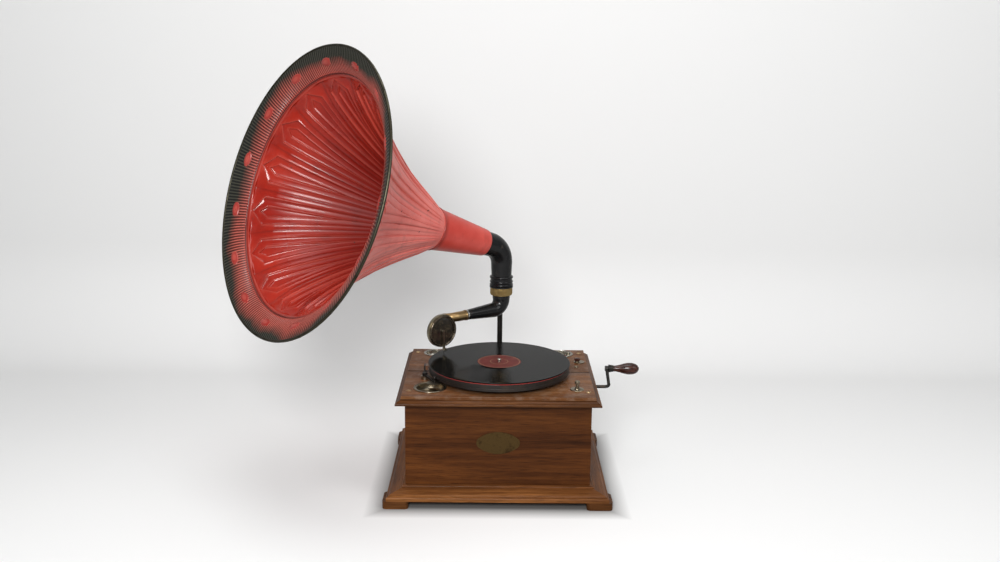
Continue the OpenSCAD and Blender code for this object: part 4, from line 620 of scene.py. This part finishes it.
# a petal's two pointed outlines; v runs from 0 at the throat to 1 at the seam, widths are parts of a petal
outerLine = {"half": 0.228, "from": 0, "grow": 0.111, "least": 0, "bend": 0.927, "shoulder": 0.331,
             "blunt": 0.03, "tip": 0.981, "fall": 0.054, "corner": 0.926}
innerLine = {"half": 0.13, "from": 0.895, "grow": 0.27, "least": 0.018, "bend": 0.90, "shoulder": 0.13,
             "blunt": 0.05, "tip": 0.940, "fall": 0.040, "corner": 0.899}
petal = {"run": 350, "width": 78, "wholeBead": 70, "wholeDepth": 120, "beside": 0.013,
         "ground": 0.16, "field": 0.66, "inset": 0.34, "outerCrest": 0.38, "innerCrest": 0.30,
         "dip": 0.75, "valley": 0.9, "edge": 1.3, "grooveAt": 1.9}


def bellRadius(v):
    r0, r1 = horn["throat"][0], horn["seam"][0]
    return r0 + (r1 - r0) * (horn["flare"] * v + (1 - horn["flare"]) * v ** horn["flarePower"])


def halfWidth(v, line):
    if v < line["bend"]:
        return max(line["least"], line["half"] + (v - line["from"]) * line["grow"])
    return line["shoulder"] * max(line["blunt"], (line["tip"] - v) / line["fall"])


def petalPlaces(v):
    # places across half a petal from its middle to the valley, set beside the two outlines
    i, o = halfWidth(v, innerLine), halfWidth(v, outerLine)
    d = petal["beside"]
    di, do = min(d, i * 0.3), min(d, o * 0.2)
    gap0, gap1 = i + 2.2 * di, max(o - 2.4 * do, i + 2.2 * di + 0.001)
    o = max(o, gap1 + 2.4 * do)
    rest = 0.5 - d * 0.8 - (o + 2.2 * do)
    places = [0, 0.35 * i, 0.7 * i] + [i + k * di for k in (-1.4, -0.7, 0, 0.7, 1.4)] + [gap0]
    places += [gap0 + (gap1 - gap0) * k for k in (0.33, 0.66, 1)]
    places += [o + k * do for k in (-1.2, -0.6, 0, 0.6, 1.2, 2.2)]
    return places + [o + 2.2 * do + rest * k for k in (0.33, 0.66, 1)] + [0.5]


def inside(place, v, line, wide):
    # how far inside a pointed outline a place lies, in millimetres
    x, y = place * wide, v * petal["run"]
    half = halfWidth(line["corner"], line) * petal["width"]
    low, high = line["corner"] * petal["run"], line["tip"] * petal["run"]
    slope = ((high - y) * half - x * (high - low)) / math.hypot(half, high - low)
    return min((halfWidth(min(v, line["corner"]), line) - place) * wide, slope)


def relief(place, v):
    # push outwards, groove and ridge of one spot of a petal
    wide = 2 * math.pi * bellRadius(v) / horn["petals"]
    bead = horn["bead"] * max(0.25, min(1, wide / petal["wholeBead"]))
    inner, outer = inside(place, v, innerLine, wide) / bead, inside(place, v, outerLine, wide) / bead
    dip = petal["dip"] * clamped((v - 0.87) / 0.08) * step((place - 0.37) * 12)
    valley = math.exp(-((0.5 - place) * wide / petal["valley"]) ** 2)
    push = petal["ground"] + dip - petal["ground"] * valley * (v < innerLine["tip"])
    push += (petal["field"] - push) * step(outer / petal["edge"])
    push += petal["inset"] * step(inner / petal["edge"])
    crestIn, crestOut = math.exp(-inner ** 2), math.exp(-outer ** 2)
    push -= petal["outerCrest"] * crestOut + petal["innerCrest"] * crestIn
    # groove darkens the valley between petals, where dirt lies in the seam and shade falls, and a line on
    # the shadow side of each outline: painted shade; the crests are lightened: painted highlight, partly
    # worn paint
    groove = 0.75 * valley + 0.22 * math.exp(-(inner - petal["grooveAt"]) ** 2)
    groove += 0.30 * math.exp(-(outer - petal["grooveAt"]) ** 2)
    return push, groove, 0.7 * crestOut + 0.5 * crestIn


def makeBell():
    rows = [0.02 * k for k in range(43)] + [0.86 + 0.004 * k for k in range(36)]  # closer at the points
    perHalf = len(petalPlaces(0.5)) - 1
    columns = perHalf * 2 * horn["petals"]
    bm = bmesh.new()
    crease, ridge, along = (bm.verts.layers.float.new(n) for n in ("crease", "ridge", "along"))
    s0, s1 = horn["throat"][1], horn["seam"][1]
    spunShape(bm, [(bellRadius(v), s0 + (s1 - s0) * v) for v in rows], columns)
    pitch = math.radians(360 / horn["petals"])
    tables = {v: [(x, *relief(x, v)) for x in petalPlaces(v)] for v in rows}
    beadAt, beadWide, beadHigh = horn["seamBead"]
    grooveAt, grooveWide = horn["seamGroove"]
    for vert in bm.verts:
        v = min(rows, key=lambda t: abs(t - (vert.co.z - s0) / (s1 - s0)))
        slot = round(math.atan2(vert.co.y, vert.co.x) / (2 * math.pi) * columns) % columns
        number, k = divmod(slot, perHalf * 2)
        side = 1 if k <= perHalf else -1
        place, push, groove, line = tables[v][k if k <= perHalf else perHalf * 2 - k]
        if k > perHalf:
            number += 1
        angle = math.radians(horn["turn"]) + (number + side * place) * pitch
        # the relief dies out at the throat and beside the seam, where a narrow bead runs round
        share = min(1, v / 0.10) * min(1.0, bellRadius(v) / petal["wholeDepth"])
        share *= clamped((0.990 - v) / 0.012)
        bead = math.exp(-((v - beadAt) / beadWide) ** 2)
        r = bellRadius(max(0, v)) + horn["depth"] * (push - horn["lift"]) * share - beadHigh * bead
        vert.co = (r * math.cos(angle), r * math.sin(angle), vert.co.z)
        seam = math.exp(-((v - grooveAt) / grooveWide) ** 2)
        vert[crease] = max(groove * min(1, v / 0.05) * share, seam)
        # painted highlight, partly worn paint: lighter on the petal crests and on the bead beside the seam
        vert[ridge] = max(line * min(1, v / 0.3) * share, 0.6 * bead)
        vert[along] = clamped(v)
    bmesh.ops.solidify(bm, geom=bm.faces[:], thickness=-horn["wall"])
    bmesh.ops.recalc_face_normals(bm, faces=bm.faces)
    for f in bm.faces:
        c = f.calc_center_median()
        f.material_index = 1 if f.normal.dot(Vector((c.x, c.y, 0)).normalized()) > 0 else 0
    return finishPiece("bellPetals", bm, hornPlace, [redInside, redOutside], 60)


bell = makeBell()
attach(bell, "horn")
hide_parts("horn_bell")
print("bell made", len(bell.data.polygons))


# the milled band: an arc about circle, its ribs, and the oval bosses as length, width and height
band = {
    "ribs": 264, "perRib": 8, "height": 1.25, "circle": (251.9, 379.3, 64.7), "wall": 0.8, "lap": 0.6,
    "seam": {0.012: -0.8, 0.05: 0.4}, "ribsFrom": 0.05, "sunk": 0.4,
    "medallion": (29, 14, 2.6), "medallionAt": 0.48, "medallionSides": (28, 16),
}


def bandPoint(t):
    # t runs 0 at the seam to 1 at the rim, along the arc
    cr, cs, rad = band["circle"]
    a0 = math.atan2(horn["seam"][1] - cs, horn["seam"][0] - cr)
    a1 = math.atan2(horn["rim"][1] + band["lap"] - cs, horn["rim"][0] - cr)
    a = a0 + (a1 - a0) * t
    return cr + rad * math.cos(a), cs + rad * math.sin(a), a


def makeBand():
    # closer beside the seam and the rim
    rows = [0, 0.012, 0.03, 0.05, 0.08, 0.14, 0.22, 0.32, 0.44, 0.56, 0.68, 0.80, 0.90, 0.96, 1.0]
    bm = bmesh.new()
    layer = bm.verts.layers.float
    fade, paintedShade, crease, ridge = (layer.new(n) for n in ("fade", "paintedShade", "crease", "ridge"))
    spunShape(bm, [bandPoint(t)[:2] for t in rows], band["ribs"] * band["perRib"])
    spots = [(t, *bandPoint(t)) for t in rows]
    upward = hornPlace.to_3x3().inverted() @ Vector((-0.62, 0, 0.78))
    for vert in bm.verts:
        t, r, s, a = min(spots, key=lambda q: abs(q[2] - vert.co.z))
        turn = math.atan2(vert.co.y, vert.co.x)
        wave = math.cos(turn * band["ribs"])
        share = clamped((t - band["ribsFrom"]) / 0.05) * min(1, (1 - t) / 0.10)
        rise = band["height"] * share
        push = rise * (0.5 + 0.5 * wave) - rise * band["sunk"] + band["seam"].get(t, 0)
        r, s = r + push * math.cos(a), s + push * math.sin(a)
        vert.co = (r * math.cos(turn), r * math.sin(turn), s)
        vert[fade] = t
        # painted shade: the band is pushed towards black on its upper side, which faces down
        vert[paintedShade] = 0.22 * Vector((math.cos(turn), math.sin(turn), 0)).dot(upward) + 0.02
        # crease is dark along the seam and between the ribs, the latter painted shade; ridge lightens the
        # rib tops, painted highlight and worn paint
        vert[crease] = 1.0 if t <= band["ribsFrom"] else (0.5 - 0.5 * wave) ** 0.55 * share
        vert[ridge] = max(0, wave) * share
    bmesh.ops.solidify(bm, geom=bm.faces[:], thickness=-band["wall"])
    bmesh.ops.recalc_face_normals(bm, faces=bm.faces)
    for f in bm.faces:
        f.material_index = 0 if f.normal.z > 0 else 1
    return finishPiece("milledBand", bm, hornPlace, [redBand, redOutside], 70)


def makeMedallions():
    bm = bmesh.new()
    crease, ridge = (bm.verts.layers.float.new(n) for n in ("crease", "ridge"))
    length, width, rise = band["medallion"]
    r, s, a = bandPoint(band["medallionAt"])
    around, upDown = band["medallionSides"]
    for k in range(horn["petals"]):
        made = bmesh.ops.create_uvsphere(bm, u_segments=around, v_segments=upDown, radius=0.5)
        low = [v for v in made["verts"] if v.co.z < -0.02]
        bmesh.ops.delete(bm, geom=low, context="VERTS")
        verts = [v for v in made["verts"] if v.is_valid]
        for v in verts:
            # painted highlight on the top of each boss, and painted shade round its foot
            v[ridge] = 0.6 if v.co.z > 0.42 else 0.0
            v[crease] = 0.9 if v.co.z < 0.03 else 0.0
        shape = (Matrix.Rotation(math.radians(horn["turn"] + k * 360 / horn["petals"]), 4, "Z")
                 @ Matrix.Translation((r, 0, s)) @ Matrix.Rotation(math.pi / 2 - a, 4, "Y")
                 @ Matrix.Diagonal((width, length, rise * 2, 1)))
        bmesh.ops.transform(bm, matrix=shape, verts=verts)
    bmesh.ops.recalc_face_normals(bm, faces=bm.faces)
    return finishPiece("bandMedallions", bm, hornPlace, [redMedal], 50)


milledBand = makeBand()
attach(milledBand, "horn")
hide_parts("horn_band")
medallions = makeMedallions()
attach(medallions, "horn")
print("band made", len(milledBand.data.polygons))


neck = {"at": (46, 170), "radius": (24.6, 38.3), "bead": 1.5, "lip": 0.5, "foot": 3, "bore": 18,
        "wall": (1.2, 1.4), "sides": 128}


def makeNeck():
    s0, s1 = neck["at"]
    r0, r1 = neck["radius"]
    lip, foot = neck["lip"], neck["foot"]
    outer = [(r0 - lip, s0), (r0, s0 + lip), (r0 + lip, s0 + foot)]
    for k in range(1, 13):
        outer.append((r0 + lip + (r1 - r0 - lip) * k / 12, s0 + foot + (s1 - s0 - 2 * foot) * k / 12))
    for k in range(9):
        a = math.radians(-90 + 180 * k / 8)
        outer.append((r1 + neck["bead"] * math.cos(a), s1 - neck["bead"] + neck["bead"] * math.sin(a)))
    thin, thick = neck["wall"]
    inner = [(r1 - thick, s1), (r0 - thin, s0 + neck["bore"]), (r0 - thin, s0)]
    bm = bmesh.new()
    crease = bm.verts.layers.float.new("crease")
    bm.verts.layers.float.new("ridge")  # the paint reads it, and stays 0 here
    spunShape(bm, outer + inner, neck["sides"], closed=True)
    for v in bm.verts:
        if v.co.z > s1 - 3.2:
            v[crease] = 1.0
        if v.co.z < s0 + 2:
            v[crease] = 0.6
    return finishPiece("neckCone", bm, hornPlace, [redNeck], 45)


neckCone = makeNeck()
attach(neckCone, "horn")
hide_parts("horn_neck")


# bent tubes start at height z0 below or above zi, and run on along the given rise
tube = {"sides": 64, "steps": 48, "collarSides": 96, "ringSides": 72}


def bentPath(z0, zi, rise, radius, length, up):
    th = math.radians(90 - rise if up > 0 else 90 + rise)
    t = radius * math.tan(th / 2)
    arc = radius * th
    first = abs(zi - z0) - t
    total = first + arc + length - t
    out = []
    el = math.radians(rise)
    for i in range(tube["steps"] + 1):
        d = total * i / tube["steps"]
        if d < first:
            out.append((0, z0 + up * d, 0, d / total))
        elif d < first + arc:
            a = (d - first) / radius
            z = zi - up * t + up * radius * math.sin(a)
            out.append((radius - radius * math.cos(a), z, a, d / total))
        else:
            s = t + d - first - arc
            out.append((s * math.cos(el), zi + s * math.sin(el), th, d / total))
    return out


def bentTube(bm, z0, zi, rise, bend, length, r0, r1, up, wall, azimuth):
    side = Vector((0, 1, 0))
    rings = []
    for x, z, a, share in bentPath(z0, zi, rise, bend, length, up):
        heading = Vector((math.sin(a), 0, up * math.cos(a)))
        rings.append(ringAt((x, 0, z), side.cross(heading), side, heading, r0 + (r1 - r0) * share))
    sweptTube(bm, rings, tube["sides"])
    bmesh.ops.solidify(bm, geom=bm.faces[:], thickness=wall)
    turnMesh(bm, azimuth)


elbow = {
    "from": 321.3, "bend": 40, "to": 63, "r": (18.2, 23.4), "wall": 1.6,
    "collar": (22, 314.3, 23), "beads": ((5.2, 2.6, 0), (11, 2.4, -0.1)), "bore": (17.2, 19.9, 5.6),
}
pivotPlace = Matrix.Translation((horn["pivot"][0], horn["pivot"][1], -footHeight))


def makeElbow():
    bm = bmesh.new()
    bentTube(bm, elbow["from"], pivotHeight, horn["rise"], elbow["bend"], elbow["to"], *elbow["r"], 1,
             elbow["wall"], horn["azimuth"])
    r, z, h = elbow["collar"]
    outer = [(r, z), (r, z + 2.6)]
    for zc, rad, reach in elbow["beads"]:
        for k in range(1, 10):
            a = math.radians(-80 + 160 * k / 10)
            outer.append((r - 2.6 + reach + rad * math.cos(a) + 0.05, z + zc + rad * math.sin(a)))
    outer += [(r - 1.6, z + 14.2), (r - 1.6, z + 17.2)]
    for k in range(1, 10):
        a = math.radians(-70 + 150 * k / 10)
        outer.append((r - 2.4 + 2.4 * math.cos(a), z + h - 3.6 + 2.4 * math.sin(a)))
    outer += [(r - 3.2, z + h - 0.6), (r - 4.0, z + h)]
    tight, loose, deep = elbow["bore"]
    inner = [(tight, z + h), (tight, z + deep), (loose, z + deep), (loose, z)]
    spunRing(bm, outer + inner, tube["collarSides"])
    return finishPiece("hornElbow", bm, pivotPlace, [black], 42)


hornElbow = makeElbow()
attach(hornElbow, "horn")
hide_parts("horn_elbow")
print("neck and elbow made")


arm = {
    "z": 272, "azimuth": 218.5, "bend": 19, "length": 81, "r": (16.3, 9.2), "from": 296, "wall": 1.5,
    "sleeve": (293, 314.3), "flange": (2, 1.8),
}
armPlace = (Matrix.Translation((horn["pivot"][0], horn["pivot"][1], arm["z"] - footHeight))
            @ Matrix.Rotation(math.radians(arm["azimuth"]), 4, "Z"))


def makeToneArm():
    bm = bmesh.new()
    bentTube(bm, arm["from"], arm["z"], 0, arm["bend"], arm["length"], *arm["r"], -1,
             arm["wall"], arm["azimuth"])
    r, bore = arm["r"][0], arm["r"][0] - arm["wall"]
    foot, top = arm["sleeve"]
    out, thick = arm["flange"]
    outer = [(r, foot), (r, top), (r + out, top), (r + out, top + thick)]
    spunRing(bm, outer + [(bore, top + thick), (bore, foot)], tube["ringSides"])
    return finishPiece("toneArmTube", bm, pivotPlace, [black], 42)


toneArm = makeToneArm()
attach(toneArm, "arm")
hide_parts("tonearm")


# the gooseneck starts at x along the arm, swings out, and comes back to the soundbox
goose = {
    "x": 84.3, "gap": 0.4, "r": 8.9, "endR": 7.05, "wall": 1.1, "out": 28, "inn": 12, "turn": 50,
    "needle": 145, "drop": 17.5, "back": 4.2, "sides": 48, "bendSteps": 12, "swingSteps": 30,
    "ring": ((6.8, 0), (9.0, 0), (9.5, 0.5), (9.5, 2.4), (9.05, 2.9), (8.8, 3.0), (6.8, 3.0)),
}


def goosePoints():
    turn, out, inn = math.radians(goose["turn"]), goose["out"], goose["inn"]
    bendX = goose["needle"] - inn * (1 + math.sin(turn)) - out * math.sin(turn)
    straight = (goose["x"] + goose["gap"], goose["x"] + 2, (goose["x"] + bendX) / 2, bendX - 2)
    points = [(x, 0, 0) for x in straight]
    for i in range(goose["bendSteps"] + 1):
        a = turn * i / goose["bendSteps"]
        points.append((bendX + out * math.sin(a), -out * (1 - math.cos(a)), 0))
    for i in range(1, goose["swingSteps"] + 1):
        a = -turn + (math.pi / 2 + turn) * i / goose["swingSteps"]
        points.append((goose["needle"] - inn * (1 - math.sin(a)),
                       -out * (1 - math.cos(turn)) + inn * (math.cos(turn) - math.cos(a)),
                       -goose["drop"] * ease(i / goose["swingSteps"])))
    points.append((goose["needle"], goose["back"], -goose["drop"]))
    return points


def makeGooseneck():
    # an outer skin and a thinner bore, each swept along the same path and joined by rings at the ends
    points = goosePoints()
    last = len(points) - 1

    def rings(thin):
        out = []
        for i, p in enumerate(points):
            heading = Vector(points[min(last, i + 1)]) - Vector(points[max(0, i - 1)])
            if i < 5:
                heading = Vector((1, 0, 0))
            elif i >= last - 1:
                heading = Vector((0, 1, 0))
            z = heading.normalized()
            x = Vector((0, 0, 1)).cross(z).normalized()
            radius = goose["r"] + (goose["endR"] - goose["r"]) * ease(clamped((i - 4) / 13)) - thin
            out.append(ringAt(p, x, z.cross(x), z, radius))
        return out

    bm = bmesh.new()
    sweptTube(bm, rings(0), goose["sides"])
    sweptTube(bm, rings(goose["wall"]), goose["sides"])
    loose = [e for e in bm.edges if len(e.link_faces) == 1]
    for axis, at in ((0, goose["x"] + goose["gap"]), (1, goose["back"])):
        ends = [e for e in loose if all(abs(v.co[axis] - at) < 0.02 for v in e.verts)]
        bmesh.ops.bridge_loops(bm, edges=ends)
    bmesh.ops.recalc_face_normals(bm, faces=bm.faces)
    # the ring beside the black arm
    ring = [(r, goose["x"] + dx) for r, dx in goose["ring"]]
    spunRing(bm, ring, tube["ringSides"], Matrix.Rotation(math.radians(90), 4, "Y"))
    return finishPiece("gooseneckTube", bm, armPlace, [tubeBrass], 50)


gooseTube = makeGooseneck()
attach(gooseTube, "soundbox")
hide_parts("gooseneck")
print("tone arm made")


# floor and backdrop in one sweep, not part of the object
sweep = {
    "floor": -13.0, "front": -3200, "fold": 560, "curve": 260, "top": 3200, "half": 3600,
    "seenCard": (0.86, 0.86, 0.855), "card": (0.50, 0.50, 0.495), "paintedCaseShadow": (0.16, 0.155, 0.15),
    "wall": (0.84, 0.84, 0.83), "glow": 0.12, "caseEdge": (0.178, 0.155),
}


def sweepPaint():
    mat = bpy.data.materials.new("paleSweep")
    mat.use_nodes = True
    tree = mat.node_tree
    tree.nodes.clear()
    end = tree.nodes.new("ShaderNodeOutputMaterial")
    card = tree.nodes.new("ShaderNodeBsdfDiffuse")
    glow = tree.nodes.new("ShaderNodeEmission")
    spot = position(tree)
    seen = tree.nodes.new("ShaderNodeLightPath").outputs
    # the glow dims towards the fold at the back: painted shade in the fold
    tone = ramp(tree, mapRange(tree, spot[1], -1.6, 0.56), (0.0, 0.97), (0.75, 0.93), (1.0, 0.80))
    rise = ramp(tree, mapRange(tree, spot[2], 0.0, 1.6), (0.0, 0.0), (0.16, 0.05), (1.0, 1.0))
    feed(tree, glow.inputs[0], mixed(tree, rise, tone, sweep["wall"]))
    glow.inputs[1].default_value = 1
    # painted shadow: the floor under the case and between its feet is painted dark and gets no glow
    dx, dy = (minus(tree, maths(tree, "ABSOLUTE", spot[i]), sweep["caseEdge"][i]) for i in (0, 1))
    clearOfCaseShadow = mapRange(tree, maths(tree, "MAXIMUM", dx, dy), 0.002, 0.045)
    cardTone = mixed(tree, seen["Is Camera Ray"], sweep["card"], sweep["seenCard"])
    feed(tree, card.inputs[0], mixed(tree, clearOfCaseShadow, sweep["paintedCaseShadow"], cardTone))
    direct = maths(tree, "MAXIMUM", seen["Is Camera Ray"], seen["Is Glossy Ray"])
    direct = maths(tree, "MAXIMUM", direct, seen["Is Transmission Ray"])
    blend = tree.nodes.new("ShaderNodeMixShader")
    feed(tree, blend.inputs[0], times(tree, times(tree, direct, sweep["glow"]), clearOfCaseShadow))
    feed(tree, blend.inputs[1], card.outputs[0])
    feed(tree, blend.inputs[2], glow.outputs[0])
    # a camera behind the card looks through it
    facing = tree.nodes.new("ShaderNodeNewGeometry")
    clear = tree.nodes.new("ShaderNodeBsdfTransparent")
    through = tree.nodes.new("ShaderNodeMixShader")
    feed(tree, through.inputs[0], times(tree, facing.outputs["Backfacing"], seen["Is Camera Ray"]))
    feed(tree, through.inputs[1], blend.outputs[0])
    feed(tree, through.inputs[2], clear.outputs[0])
    feed(tree, end.inputs[0], through.outputs[0])
    return mat


def makeSweep():
    bm = bmesh.new()
    z, c = sweep["floor"], sweep["curve"]
    points = [(sweep["front"], z), (sweep["fold"], z)]
    for k in range(1, 13):
        a = math.radians(90 * k / 12)
        points.append((sweep["fold"] + c * math.sin(a), z + c * (1 - math.cos(a))))
    points.append((sweep["fold"] + c, sweep["top"]))
    verts = [bm.verts.new((-sweep["half"], y, zz)) for y, zz in points]
    edges = [bm.edges.new(pair) for pair in zip(verts, verts[1:])]
    out = bmesh.ops.extrude_edge_only(bm, edges=edges)
    far = [g for g in out["geom"] if isinstance(g, bmesh.types.BMVert)]
    bmesh.ops.translate(bm, vec=(2 * sweep["half"], 0, 0), verts=far)
    bmesh.ops.recalc_face_normals(bm, faces=bm.faces)
    bm.normal_update()
    if max(bm.faces, key=lambda f: f.calc_area()).normal.dot(Vector((0, -1, 1))) < 0:
        bmesh.ops.reverse_faces(bm, faces=bm.faces)
    floor = finishPiece("sweep", bm, Matrix.Identity(4), [sweepPaint()], 30)


makeSweep()

# place, target, size and watts
lamps = {
    "key": ((-260, -2200, 1300), (-80, 0, 330), 750, 52),
    "fill": ((1900, -1300, 1800), (0, 0, 250), 1500, 17),
    "top": ((-50, -150, 2400), (-60, 0, 0), 1500, 20),
}
worldLook = {"colour": (0.93, 0.95, 0.97, 1), "low": 0.16, "seen": 0.74, "glossy": 0.25}


def makeLights():
    for name, (at, to, size, power) in lamps.items():
        data = bpy.data.lights.new(name, "AREA")
        data.shape = "DISK"
        data.size = size * mm
        data.energy = power
        lamp = bpy.data.objects.new(name, data)
        bpy.context.scene.collection.objects.link(lamp)
        at, to = Vector(at) * mm, Vector(to) * mm
        turn = (to - at).to_track_quat("-Z", "Y").to_matrix().to_4x4()
        lamp.matrix_world = Matrix.Translation(at) @ turn


def makeWorld():
    world = bpy.data.worlds.new("studio")
    world.use_nodes = True
    tree = world.node_tree
    back = tree.nodes["Background"]
    back.inputs[0].default_value = worldLook["colour"]
    seen = tree.nodes.new("ShaderNodeLightPath").outputs
    direct = maths(tree, "MAXIMUM", seen["Is Camera Ray"], seen["Is Transmission Ray"])
    direct = maths(tree, "MAXIMUM", direct, times(tree, seen["Is Glossy Ray"], worldLook["glossy"]))
    feed(tree, back.inputs[1], plus(tree, worldLook["low"], times(tree, direct, worldLook["seen"])))
    bpy.context.scene.world = world
    bpy.context.scene.view_settings.view_transform = "Standard"


makeLights()
makeWorld()
print("stage and lights made")
